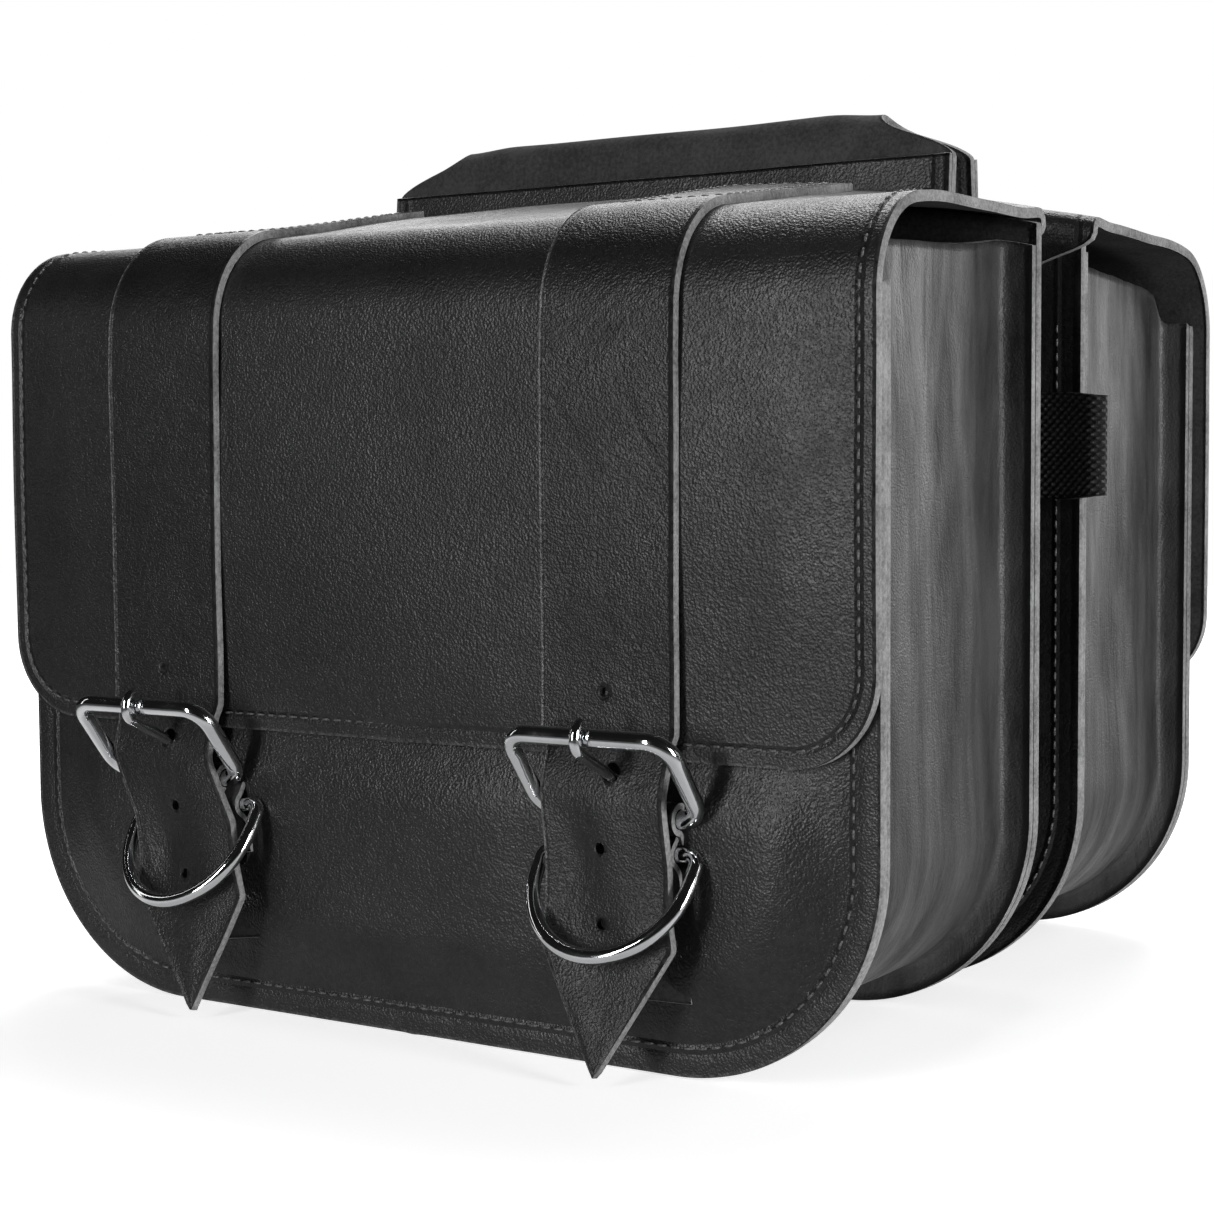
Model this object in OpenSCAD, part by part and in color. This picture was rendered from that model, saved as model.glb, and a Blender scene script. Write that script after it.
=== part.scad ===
// A pair of motorcycle saddlebags, standing back to back and joined by a throw-over yoke.
// Millimetres. +Z is up, +X runs along the bags' width, and the left bag's face looks
// towards -Y. The origin is on the ground, midway between the two bags.

/* [Bags] */
// Width of the front and back panels
panel_w = 355; // [296:1:426]
// Depth of a bag, from the front panel's face to the back panel's face
bag_depth = 127; // [105:1:155]
// Height of the lid's crest, along the hinge
crest_z = 293; // [244:1:352]
// Clear space between the two back panels
bag_gap = 39; // [32:0.5:60]
// Radius of the panels' two bottom corners
corner_r = 72; // [40:1:90]
// Width of the seam margin that stands out all round a panel
seam_margin = 10; // [7:0.5:14]

/* [Leather] */
// Thickness of the front and back panels
panel_t = 4; // [3:0.5:5]
// Thickness of the gusset
gusset_t = 3; // [2:0.5:4]
// Thickness of the lid
lid_t = 3.5; // [2.5:0.1:4.5]
// Thickness of the buckle straps
strap_t = 3; // [2:0.5:4]
// Thickness of the chapes that carry the buckles and rings
chape_t = 2; // [1.5:0.5:2.5]
// Thickness of the yoke
yoke_t = 3; // [2.5:0.5:4]
// Thickness of the stiffening boards inside a bag
board_t = 2; // [1.5:0.5:3]

/* [Lid] */
// How far the lid reaches past the panels, at each side
lid_overhang = 2; // [0:0.5:5]
// Height of the lid's lower edge
lid_bottom_z = 102; // [95:1:115]
// Radius of the lid's bend, from its top to its front
lid_bend_r = 32; // [20:1:45]
// Slope of the lid's top, down from the hinge to the bend, in degrees
lid_slope = 8; // [2:1:12]
// Radius of the lid's two lower corners
lid_corner_r = 30; // [10:1:45]
// Gap between the gusset's top edge and the lid
mouth_gap = 9; // [6:1:20]

/* [Buckle straps] */
// Width of the buckle straps
strap_w = 50; // [41:1:60]
// Where the left strap of a bag sits, across the lid
left_strap_x = -103; // [-120:1:-70]
// Where the right strap of a bag sits, across the lid
right_strap_x = 86; // [70:1:120]
// Sideways drift of the left strap's tail, from the buckle to the tip
left_tail_drift = 24; // [0:1:30]
// Sideways drift of the right strap's tail, from the buckle to the tip
right_tail_drift = 5; // [0:1:30]
// Length of the pointed tip of a strap
tip_l = 36; // [20:1:45]
// Spacing of the strap's holes
hole_pitch = 25; // [20:1:28]
// Radius of the small strap holes
hole_r = 1.6; // [1:0.1:2.5]

/* [Buckles and rings] */
// Height of the buckle's hinge bar
hinge_bar_z = 84; // [80:1:88]
// Radius of the buckle frame's wire
frame_wire_r = 3; // [2.5:0.1:3.6]
// Height of the buckle frame, between the middles of its two bars
frame_h = 34; // [30:1:40]
// How far the buckle leans out from upright, in degrees
frame_lean = 38; // [34:1:42]
// Radius of the prong's wire
prong_wire_r = 2.1; // [1.5:0.1:2.5]
// Height of the ring's straight bar
ring_bar_z = 72; // [70:1:73]
// Radius of the ring's wire
ring_wire_r = 2.5; // [2:0.25:3]
// Length of the ring's straight sides
ring_leg = 8; // [6:1:11]
// How far the ring leans out over the strap, in degrees
ring_lean = 36; // [34:1:38]

/* [Yoke] */
// Width of the yoke where it meets the bags
yoke_w = 245; // [180:1:260]
// Width of the yoke along its crest
yoke_crest_w = 183; // [120:1:200]
// Where the yoke's middle sits, across the bags
yoke_x = 18; // [-20:1:20]
// How far the yoke's crest stands above the lids' crests
yoke_rise = 30; // [24:1:60]
// Length of half the yoke, from its crest to the bag that carries it
yoke_half_l = 102; // [90:1:120]

/* [Hidden] */
SIDES = ["left_bag", "right_bag"];
PIECES = [
    "front_panel", "back_panel", "gusset", "front_seam", "back_seam",
    "front_board", "back_board", "base_board", "lid_flap", "snap_studs", "tie_loop", "yoke_anchor",
    "lid", "left_strap", "right_strap", "left_chape", "right_chape", "snap_caps", "chape_rivets",
    "left_buckle", "right_buckle", "left_prong", "right_prong", "left_ring", "right_ring",
    "yoke_half", "yoke_facing", "yoke_rivets"
];
$fn = 48;

leather = [0.09, 0.09, 0.10];
lining = [0.20, 0.20, 0.21];
steel = [0.80, 0.81, 0.83];
webbing = [0.04, 0.04, 0.04];
board = [0.36, 0.30, 0.22];

// Clearances between pieces that move apart
lid_clear = 1;      // lid to front panel
chape_clear = 0.5;  // chape to front panel
bar_clear = 0.25;   // a wire bar in its leather loop, on the radius
rest_clear = 0.3;   // two pieces that only rest on each other
layer_gap = 0.1;    // layers of one body, kept from sharing a face

// Places along Y of one bag, whose face looks towards -Y
face_y = -(bag_gap / 2 + bag_depth);
back_y = -bag_gap / 2;
hinge_y = back_y + 2.5;
front_flange_y = face_y + panel_t;
back_flange_y = back_y - panel_t;
chape_y = face_y - chape_clear;

// The lid's middle surface: a sloping top, a round bend and an upright front
lid_w = panel_w + 2 * lid_overhang;
lid_y = face_y - lid_clear - lid_t / 2;
lid_back = [hinge_y - rest_clear, crest_z - lid_t / 2 / cos(lid_slope)];
bend_top_y = lid_y + lid_bend_r * (1 - sin(lid_slope));
bend_top_z = lid_back[1] - (lid_back[0] - bend_top_y) * tan(lid_slope);
bend_c = [lid_y + lid_bend_r, bend_top_z - lid_bend_r * cos(lid_slope)];
lid_path = concat(
    [lid_back],
    arc(bend_c, lid_bend_r, 90 + lid_slope, 180, 14),
    [[lid_y, lid_bottom_z]]
);

// The bag's mouth, under the lid
mouth_z = bend_c[1] + 4;
mouth_back_z = lid_back[1] - lid_t / 2 - mouth_gap - 3;
flap_t = 2.5;
flap_top_z = crest_z - lid_t / cos(lid_slope) - 0.5;
flap_h = 34;
inner_inset = seam_margin + gusset_t;

// The loops that carry the buckle's hinge bar and the ring's straight bar
frame_loop_r = frame_wire_r + bar_clear + chape_t;
ring_loop_r = ring_wire_r + bar_clear + chape_t;
hinge_bar = [chape_y - frame_loop_r, hinge_bar_z];
ring_bar = [chape_y - ring_loop_r, ring_bar_z];

strap_lift = lid_t / 2 + layer_gap + strap_t / 2;
strap_start_y = hinge_y - 13;
strap_start = [strap_start_y, lid_back[1] - (lid_back[0] - strap_start_y) * tan(lid_slope)];
strap_over_lid = offset_path(
    concat([strap_start], arc(bend_c, lid_bend_r, 90 + lid_slope, 180, 14), [[lid_y, lid_bottom_z + 4]]),
    -strap_lift
);
tail_y = hinge_bar[0] - frame_loop_r - 0.4 - strap_t / 2;
tip_y = tail_y - 11;
tip_z = 3.5;

// The ring: a D of wire, on a straight bar, that comes out in front of the strap at ring_out_z
ring_r = strap_w / 2 + 1.5 + ring_wire_r;
ring_corner_r = 4;
ring_reach = ring_bar[0] - tail_y + strap_t / 2 + ring_wire_r / cos(ring_lean) + rest_clear;
ring_out_z = ring_bar_z - ring_reach / tan(ring_lean);
ring_drop = ring_reach / sin(ring_lean) - ring_leg;
strap_neck = min(strap_w / 2 - 2, sqrt(pow(ring_r, 2) - pow(ring_drop, 2)) - ring_wire_r - rest_clear);

// The strap's middle surface: over the lid, then free past the loops to its tip
strap_path = concat(strap_over_lid, [
    [tail_y + 0.8, hinge_bar_z + 8],
    [tail_y, hinge_bar_z + 1],
    [tail_y, ring_out_z],
    [tip_y, tip_z]
]);

// The buckle: its top bar, the prong's hole in the strap and the prong's route
frame_w = strap_w + 4 + 2 * frame_wire_r;
frame_corner_r = 8;
top_bar = hinge_bar + frame_h * [-sin(frame_lean), cos(frame_lean)];
prong_hole_z = hinge_bar_z + 14;
prong_hole_r = prong_wire_r + 2.5;
bar_gap = frame_wire_r + prong_wire_r + 2 * rest_clear;
prong_route = concat(
    [
        hinge_bar + [0, frame_loop_r - 0.6],
        hinge_bar + [0.3, prong_hole_z - hinge_bar_z - 4.4],
        hinge_bar + [-1, prong_hole_z - hinge_bar_z - 1.4]
    ],
    arc(top_bar, bar_gap, 235, 130, 8)
);
prong_w = 2 * prong_wire_r;
prong_room = prong_w + 2.8;
buckle_shift = 3;

// The press stud that holds each chape to the front panel
snap_z = 36;
stud_r = 3.3;
snap_bore_r = 5.2;
cap_r = 6.5;
cap_h = 3;

// The yoke: a foot on each back panel, and a crest that folds
yoke_crest_z = crest_z + yoke_rise;
anchor_t = 2.5;
foot_y = back_y + anchor_t + yoke_t / 2;
foot_z = yoke_crest_z - sqrt(pow(yoke_half_l, 2) - pow(foot_y, 2));
fold_r = 6;
fold_c = [0, yoke_crest_z - yoke_t / 2 - fold_r];
foot_to_fold = [0 - foot_y, fold_c[1] - foot_z];
yoke_tilt = atan(foot_to_fold[0] / foot_to_fold[1]) - asin(fold_r / norm(foot_to_fold));
fold_end_angle = 90 + 1.5;
yoke_path = concat([[foot_y, foot_z]], arc(fold_c, fold_r, 180 - yoke_tilt, fold_end_angle, 10));
yoke_chamfer_h = 18;
facing_t = 2;
facing_low = 20;
facing_high = 82;
rivet_up = 66;
rivet_in = 9;

// The rivets through the chapes and the yoke
rivet_z = 54;
rivet_shank_r = 1.5;

// Each strap: its place across the lid, and its tail's drift
STRAPS = [
    [left_strap_x, left_tail_drift],
    [right_strap_x, right_tail_drift]
];
// A tail drifts fast from the buckle to the ring, then slowly, in line with the ring
DRIFT = [[tip_z, 1], [46, 0.64], [ring_bar_z - 2, 0.5], [hinge_bar_z + 8, 0]];
drift_rate = (DRIFT[1][1] - DRIFT[2][1]) / (DRIFT[2][0] - DRIFT[1][0]);
function strap_x(s) = STRAPS[s][0];
// Sideways drift of the strap's middle line at height z
function drift(s, z) = STRAPS[s][1] * lookup(z, DRIFT);
function buckle_x(s) = strap_x(s) + buckle_shift;
function ring_x(s) = strap_x(s) + STRAPS[s][1] * (DRIFT[2][1] - 2 * drift_rate);
// How far the ring is turned out of level, in degrees
function ring_turn(s) = atan(STRAPS[s][1] * drift_rate);

// Points along an arc
function arc(c, r, a0, a1, n) =
    [for (i = [0 : n]) let (a = a0 + (a1 - a0) * i / n) c + r * [cos(a), sin(a)]];
// Unit normal, to the left of the step from a to b
function step_normal(a, b) = let (d = b - a) [-d[1], d[0]] / norm(d);
// Mitred normal of a path at point i
function miter(p, i) = let (
    n = len(p) - 2,
    before = step_normal(p[max(i - 1, 0)], p[max(i - 1, 0) + 1]),
    after = step_normal(p[min(i, n)], p[min(i, n) + 1])
) (before + after) / (1 + before * after);
// A path moved sideways by d
function offset_path(p, d) = [for (i = [0 : len(p) - 1]) p[i] + d * miter(p, i)];
function reversed(p) = [for (i = [len(p) - 1 : -1 : 0]) p[i]];
// Outline of a sheet of thickness t around a path
function ribbon(p, t) = concat(offset_path(p, t / 2), reversed(offset_path(p, -t / 2)));
// Outline of a panel: straight top, round bottom corners, everything moved in by inset
function panel_outline(inset, top_z) = let (
    w = panel_w / 2 - inset,
    r = corner_r - inset
) concat(
    [[-w, top_z]],
    arc([r - w, inset + r], r, 180, 270, 12),
    arc([w - r, inset + r], r, 270, 360, 12),
    [[w, top_z]]
);

// The right bag is the left one turned half round
module place(side) { rotate([0, 0, side == SIDES[1] ? 180 : 0]) children(); }
// An outline in X and Z, made into a slab from y0 to y1
module slab(y0, y1) {
    translate([0, y1, 0]) rotate([90, 0, 0]) linear_extrude(y1 - y0) children();
}
// An outline in Y and Z, made into a bar from x0 to x1
module bar_along_x(x0, x1) {
    translate([x0, 0, 0]) rotate([90, 0, 90]) linear_extrude(x1 - x0) children();
}
// A round bar along X, of length l, centred on [y, z]
module rod(c, r, l, x = 0) {
    translate([x, c[0], c[1]]) rotate([0, 90, 0]) cylinder(r = r, h = l, center = true);
}
// A round pin along Y, from y0 to y1
module pin(x, z, r, y0, y1) {
    translate([x, y1, z]) rotate([90, 0, 0]) cylinder(r = r, h = y1 - y0);
}
// A quarter turn of wire in the XY plane, from angle a, centred on c
module elbow(c, bend_r, wire_r, a) {
    translate([c[0], c[1], 0]) rotate([0, 0, a])
        rotate_extrude(angle = 90) translate([bend_r, 0]) circle(wire_r, $fn = 24);
}
// A straight stretch of wire in the XY plane
module straight(a, b, wire_r) {
    d = b - a;
    translate([a[0], a[1], 0]) rotate([0, 0, atan2(d[1], d[0])]) rotate([0, 90, 0])
        cylinder(r = wire_r, h = norm(d), $fn = 24);
}

// ---- bag ----

module front_panel() {
    color(leather) slab(face_y, front_flange_y) polygon(panel_outline(0, mouth_z));
}

module back_panel() {
    color(leather) slab(back_flange_y, back_y) polygon(panel_outline(0, flap_top_z - 1));
}

// A strip round the sides and the bottom, its top edges following the lid
module gusset() {
    under_lid = offset_path(lid_path, lid_t / 2 + mouth_gap);
    color(leather) intersection() {
        difference() {
            slab(front_flange_y, back_flange_y) polygon(panel_outline(seam_margin, crest_z));
            slab(front_flange_y - 1, back_flange_y + 1) polygon(panel_outline(inner_inset, crest_z + 1));
        }
        union() {
            bar_along_x(-panel_w, panel_w)
                polygon(concat(under_lid, [[under_lid[len(under_lid) - 1][0], -1], [under_lid[0][0], -1]]));
            slab(front_flange_y - 1, bend_c[0]) translate([-panel_w, -1]) square([2 * panel_w, mouth_z + 1]);
        }
    }
}

// An edge of the gusset, turned out along y0 and sewn to a panel's margin
module seam_edge(y0, top_z) {
    color(leather) difference() {
        slab(y0, y0 + gusset_t) polygon(panel_outline(0, top_z));
        slab(y0 - 1, y0 + gusset_t + 1) polygon(panel_outline(seam_margin, top_z + 1));
    }
}

module inner_board(y0, y1, top_z) {
    color(board) slab(y0, y1) polygon(panel_outline(inner_inset + 0.5, top_z));
}

module base_board() {
    half_w = panel_w / 2 - corner_r;
    low_z = inner_inset + layer_gap;
    color(board) translate([-half_w, front_flange_y + board_t + 1, low_z])
        cube([2 * half_w, bag_depth - 2 * panel_t - 2 * board_t - 2, board_t]);
}

// The strip of the lid's leather that is sewn down the back panel
module lid_flap() {
    color(leather) translate([-lid_w / 2, back_y, flap_top_z - flap_h]) cube([lid_w, flap_t, flap_h]);
}

module snap_studs() {
    color(steel) for (s = [0, 1]) turned_ring(s) union() {
        pin(0, snap_z - ring_bar_z, stud_r, chape_y - 3.2, chape_y - 1.6);
        pin(0, snap_z - ring_bar_z, stud_r - 0.8, chape_y - 1.7, face_y);
    }
}

// Webbing folded into a loop that stands out of the back seam
module tie_loop() {
    web_t = 1.7;
    web_w = 38;
    loop_r = 3.7;
    edge_x = -panel_w / 2;
    y0 = back_y + web_t / 2;
    turn_c = [edge_x - 7, y0 + loop_r];
    path = concat(
        [[edge_x + 22, y0]],
        arc(turn_c, loop_r, 270, 90, 10),
        [[edge_x + 9, y0 + web_t + layer_gap], [edge_x + 22, y0 + web_t + layer_gap]]
    );
    color(webbing) translate([0, 0, mouth_z - 67]) linear_extrude(web_w) polygon(ribbon(path, web_t));
}

// ---- lid ----

module lid_outline() {
    half_w = lid_w / 2;
    polygon(concat(
        [[-half_w, crest_z + 5]],
        arc([lid_corner_r - half_w, lid_bottom_z + lid_corner_r], lid_corner_r, 180, 270, 8),
        arc([half_w - lid_corner_r, lid_bottom_z + lid_corner_r], lid_corner_r, 270, 360, 8),
        [[half_w, crest_z + 5]]
    ));
}

module lid() {
    color(leather) intersection() {
        bar_along_x(-lid_w / 2, lid_w / 2) polygon(ribbon(lid_path, lid_t));
        slab(face_y - 20, back_y + 5) lid_outline();
    }
}

// Outline of a strap, as seen from the front: straight on the lid, then drifting to a point
module strap_outline(s) {
    half_w = strap_w / 2;
    levels = [
        [crest_z + 10, half_w], [prong_hole_z + 13, half_w], [prong_hole_z + 9, strap_neck],
        [DRIFT[3][0], strap_neck], [DRIFT[2][0], strap_neck], [ring_out_z, strap_neck],
        [DRIFT[1][0], half_w - 1], [tip_z + tip_l, half_w]
    ];
    x = strap_x(s);
    polygon(concat(
        [for (l = levels) [x + drift(s, l[0]) - l[1], l[0]]],
        [[x + drift(s, tip_z), tip_z - 3]],
        [for (l = reversed(levels)) [x + drift(s, l[0]) + l[1], l[0]]]
    ));
}

module strap(s) {
    x = strap_x(s);
    hole_levels = [prong_hole_z + hole_pitch, prong_hole_z - hole_pitch + 1, prong_hole_z - 2 * hole_pitch + 2];
    color(leather) difference() {
        intersection() {
            bar_along_x(x - strap_w, x + strap_w) polygon(ribbon(strap_path, strap_t));
            slab(tip_y - 10, back_y + 5) strap_outline(s);
        }
        for (z = hole_levels)
            pin(x + drift(s, z), z, hole_r, tip_y - 10, lid_y - lid_t / 2 - layer_gap / 2);
        pin(buckle_x(s), prong_hole_z - 0.4, prong_hole_r, tip_y, lid_y + lid_t);
    }
}

// The chape: a leather tab with one loop for the buckle and one for the ring
module chape(s) {
    loop_l = strap_w - 6;
    tab_w = strap_w - 4;
    tab_low = snap_z - 12 - ring_bar_z;
    color(leather) difference() {
        union() {
            rod(hinge_bar, frame_loop_r, loop_l, buckle_x(s));
            turned_ring(s) union() {
                slab(chape_y - chape_t, chape_y)
                    translate([-tab_w / 2, tab_low]) square([tab_w, hinge_bar_z - ring_bar_z - tab_low]);
                rod([ring_bar[0], 0], ring_loop_r, loop_l);
            }
        }
        rod(hinge_bar, frame_wire_r + bar_clear, 2 * strap_w, buckle_x(s));
        // Slot for the prong's eye
        translate([buckle_x(s) - prong_room / 2, hinge_bar[0] - frame_loop_r - 1, hinge_bar_z - 7])
            cube([prong_room, 2 * frame_loop_r + 2, 20]);
        turned_ring(s) union() {
            rod([ring_bar[0], 0], ring_wire_r + bar_clear, 2 * strap_w);
            pin(0, snap_z - ring_bar_z, snap_bore_r, chape_y - 5, chape_y + 1);
            for (x = [-1, 1])
                pin(15 * x, rivet_z - ring_bar_z, rivet_shank_r + layer_gap, chape_y - 5, chape_y + 1);
        }
    }
}

module snap_caps() {
    color(steel) for (s = [0, 1]) turned_ring(s) difference() {
        pin(0, snap_z - ring_bar_z, cap_r, chape_y - chape_t - cap_h, chape_y - chape_t);
        pin(0, snap_z - ring_bar_z, snap_bore_r, chape_y - chape_t - cap_h + 1, chape_y);
    }
}

module chape_rivets() {
    color(steel) for (s = [0, 1], x = [-1, 1]) turned_ring(s) union() {
        pin(15 * x, rivet_z - ring_bar_z, 3.6, chape_y - chape_t - 1, chape_y - chape_t);
        pin(15 * x, rivet_z - ring_bar_z, rivet_shank_r, chape_y - chape_t - 0.5, chape_y);
    }
}

// ---- buckles and rings ----

// The frame: two bars and two sides of wire with round corners
module buckle(s) {
    half_w = frame_w / 2;
    c = frame_corner_r;
    r = frame_wire_r;
    color(steel) translate([buckle_x(s), hinge_bar[0], hinge_bar[1]]) rotate([90 + frame_lean, 0, 0]) {
        straight([c - half_w, 0], [half_w - c, 0], r);
        straight([c - half_w, frame_h], [half_w - c, frame_h], r);
        straight([-half_w, c], [-half_w, frame_h - c], r);
        straight([half_w, c], [half_w, frame_h - c], r);
        elbow([c - half_w, c], c, r, 180);
        elbow([half_w - c, c], c, r, 270);
        elbow([half_w - c, frame_h - c], c, r, 0);
        elbow([c - half_w, frame_h - c], c, r, 90);
    }
}

// The prong: an eye on the hinge bar, and a bent shank that rests over the top bar
module prong(s) {
    color(steel) translate([buckle_x(s), 0, 0]) difference() {
        union() {
            rod(hinge_bar, frame_loop_r, prong_w);
            bar_along_x(-prong_wire_r, prong_wire_r) polygon(ribbon(prong_route, prong_w));
        }
        rod(hinge_bar, frame_wire_r + bar_clear, 2 * prong_w);
    }
}

// The ring's own frame: its bar along X, turned a little out of level
module turned_ring(s) {
    translate([ring_x(s), 0, ring_bar_z]) rotate([0, -ring_turn(s), 0]) children();
}

module ring(s) {
    c = ring_corner_r;
    color(steel) turned_ring(s) translate([0, ring_bar[0], 0]) rotate([90 - ring_lean, 0, 0]) {
        straight([c - ring_r, 0], [ring_r - c, 0], ring_wire_r);
        elbow([c - ring_r, -c], c, ring_wire_r, 90);
        elbow([ring_r - c, -c], c, ring_wire_r, 0);
        straight([-ring_r, -c], [-ring_r, -ring_leg], ring_wire_r);
        straight([ring_r, -c], [ring_r, -ring_leg], ring_wire_r);
        elbow([0, -ring_leg], ring_r, ring_wire_r, 180);
        elbow([0, -ring_leg], ring_r, ring_wire_r, 270);
    }
}

// ---- yoke ----

// The yoke is not centred on the bags, so it does not turn with the right one
module place_yoke(side) {
    translate([side == SIDES[1] ? 2 * yoke_x : 0, 0, 0]) place(side) children();
}

module yoke_anchor() {
    color(leather) translate([yoke_x - yoke_w / 2, back_y, foot_z - 72])
        cube([yoke_w, anchor_t, 69]);
}

module yoke_half() {
    half_w = yoke_w / 2;
    half_crest = yoke_crest_w / 2;
    shoulder_z = yoke_crest_z - yoke_chamfer_h;
    color(leather) union() {
        intersection() {
            bar_along_x(yoke_x - half_w, yoke_x + half_w) polygon(ribbon(yoke_path, yoke_t));
            translate([yoke_x, 0, 0]) slab(foot_y - 10, 5) polygon([
                [-half_w, 0], [half_w, 0], [half_w, shoulder_z], [half_crest, yoke_crest_z + 0.1],
                [-half_crest, yoke_crest_z + 0.1], [-half_w, shoulder_z]
            ]);
        }
        rod([foot_y, foot_z], yoke_t / 2, yoke_w, yoke_x);
    }
}

// Places things on the yoke's slope: x across, then outwards, then up from the foot
module on_yoke() {
    translate([yoke_x, foot_y, foot_z]) rotate([-yoke_tilt, 0, 0]) children();
}

module yoke_facing() {
    color(lining) difference() {
        on_yoke() translate([-yoke_w / 2, yoke_t / 2, facing_low])
            cube([yoke_w, facing_t, facing_high - facing_low]);
        yoke_rivet_posts(rivet_shank_r + layer_gap, 5);
    }
}

module yoke_rivet_posts(r, reach) {
    on_yoke() for (x = [-1, -0.5, 0.5, 1])
        pin(x * (yoke_w / 2 - rivet_in), rivet_up, r, yoke_t / 2, yoke_t / 2 + reach);
}

module yoke_rivets() {
    color(steel) union() {
        yoke_rivet_posts(rivet_shank_r, facing_t);
        on_yoke() for (x = [-1, -0.5, 0.5, 1])
            pin(x * (yoke_w / 2 - rivet_in), rivet_up, 4.5, yoke_t / 2 + facing_t, yoke_t / 2 + facing_t + 1.6);
    }
}

for (side = SIDES) {
    place(side) front_panel();
    place(side) back_panel();
    place(side) gusset();
    place(side) seam_edge(front_flange_y, mouth_z);
    place(side) seam_edge(back_flange_y - gusset_t, mouth_back_z);
    place(side) inner_board(front_flange_y, front_flange_y + board_t, mouth_z - 4);
    place(side) inner_board(back_flange_y - board_t, back_flange_y, mouth_z - 4);
    place(side) base_board();
    place(side) lid_flap();
    place(side) snap_studs();
    place(side) tie_loop();
    place_yoke(side) yoke_anchor();
    place(side) lid();
    place(side) strap(0);
    place(side) strap(1);
    place(side) chape(0);
    place(side) chape(1);
    place(side) snap_caps();
    place(side) chape_rivets();
    place(side) buckle(0);
    place(side) buckle(1);
    place(side) prong(0);
    place(side) prong(1);
    place(side) ring(0);
    place(side) ring(1);
    place_yoke(side) yoke_half();
    place_yoke(side) yoke_facing();
    place_yoke(side) yoke_rivets();
}
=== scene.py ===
"""A pair of black leather saddlebags, back to back, joined by a throw-over yoke."""
import math

import bpy
import numpy as np
from mathutils import Matrix, Vector


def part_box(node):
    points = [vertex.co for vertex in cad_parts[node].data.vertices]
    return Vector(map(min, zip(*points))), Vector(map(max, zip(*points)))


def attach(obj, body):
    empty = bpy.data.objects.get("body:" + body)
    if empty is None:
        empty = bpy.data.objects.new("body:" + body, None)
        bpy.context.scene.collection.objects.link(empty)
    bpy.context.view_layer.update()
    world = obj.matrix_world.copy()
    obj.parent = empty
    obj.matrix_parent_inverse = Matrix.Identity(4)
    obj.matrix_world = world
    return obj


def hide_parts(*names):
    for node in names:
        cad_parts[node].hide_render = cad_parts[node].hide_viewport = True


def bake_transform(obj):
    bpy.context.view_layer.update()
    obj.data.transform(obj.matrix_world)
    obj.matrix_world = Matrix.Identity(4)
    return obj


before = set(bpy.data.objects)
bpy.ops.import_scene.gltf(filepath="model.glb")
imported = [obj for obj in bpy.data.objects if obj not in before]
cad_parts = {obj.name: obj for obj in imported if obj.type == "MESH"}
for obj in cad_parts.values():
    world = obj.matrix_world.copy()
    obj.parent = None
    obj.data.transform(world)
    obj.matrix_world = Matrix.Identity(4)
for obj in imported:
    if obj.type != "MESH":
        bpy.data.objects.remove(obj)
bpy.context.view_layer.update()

MM = 0.001
SIDES = ("left", "right")


def node_box(node):
    """Lowest and highest corner of a CAD node, in millimetres."""
    lo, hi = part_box(node)
    return np.array(lo) / MM, np.array(hi) / MM


# ---- sizes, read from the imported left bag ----

panel_lo, panel_hi = node_box("left_bag_front_panel")
back_lo, back_hi = node_box("left_bag_back_panel")
lid_lo, lid_hi = node_box("left_bag_lid")
flap_low_z = node_box("left_bag_lid_flap")[0][2]
loop_lo, loop_hi = node_box("left_bag_tie_loop")
yoke_lo, yoke_hi = node_box("left_bag_yoke_half")
anchor_lo, anchor_hi = node_box("left_bag_yoke_anchor")

HALF_W = panel_hi[0]
FACE_Y = panel_lo[1]
BACK_Y = back_hi[1]
SEAM_FRONT_Y = panel_hi[1]
SEAM_BACK_Y = back_lo[1]
MOUTH_Z = panel_hi[2]
BACK_TOP_Z = back_hi[2]
CORNER_R = 72.0                   # round bottom corners of the panels
LID_T = 3.5
LID_Y = lid_lo[1] + LID_T / 2
LID_LOW_Z = lid_lo[2]
BEND_R = 32.0
BEND_C = np.array([LID_Y + BEND_R, MOUTH_Z - 4])
YOKE_X = (yoke_lo[0] + yoke_hi[0]) / 2
YOKE_HALF_W = (yoke_hi[0] - yoke_lo[0]) / 2
CREST_Z = yoke_hi[2]
FOOT = np.array([yoke_lo[1] + 1.5, yoke_lo[2] + 1.5])


# ---- curves and soft shapes ----

def ease(x, a, b):
    """0 at a, 1 at b, with a smooth start and end: t*t*(3-2t) of the clipped share."""
    t = np.clip((np.asarray(x, float) - a) / (b - a), 0, 1)
    return t * t * (3 - 2 * t)


def hill(x, middle, width):
    """A bell curve of height 1 round the middle."""
    return np.exp(-(((np.asarray(x, float) - middle) / width) ** 2))


def ripple(x, y, seed, size):
    """Soft uneven waves from -1 to 1: the mean of six sines in seeded directions, with lengths near size."""
    rng = np.random.default_rng(seed)
    total = np.zeros(np.broadcast(x, y).shape)
    for _ in range(6):
        turn, phase = rng.uniform(0, 2 * np.pi, 2)
        length = size * rng.uniform(0.7, 1.6)
        total += np.sin(2 * np.pi * (x * np.cos(turn) + y * np.sin(turn)) / length + phase)
    return total / 3.2


def arc(centre, radius, a0, a1, count):
    """Points on a circle round centre, from angle a0 to a1 in degrees."""
    a = np.radians(np.linspace(a0, a1, count))
    return np.asarray(centre, float) + radius * np.stack([np.cos(a), np.sin(a)], 1)


def rounded(points, rounds=3):
    """A path with its corners cut: each step becomes its points at 1/4 and 3/4, and the ends stay."""
    p = np.asarray(points, float)
    for _ in range(rounds):
        cut = np.stack([0.75 * p[:-1] + 0.25 * p[1:], 0.25 * p[:-1] + 0.75 * p[1:]], 1)
        p = np.concatenate([p[:1], cut.reshape(-1, p.shape[1]), p[-1:]])
    return p


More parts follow.
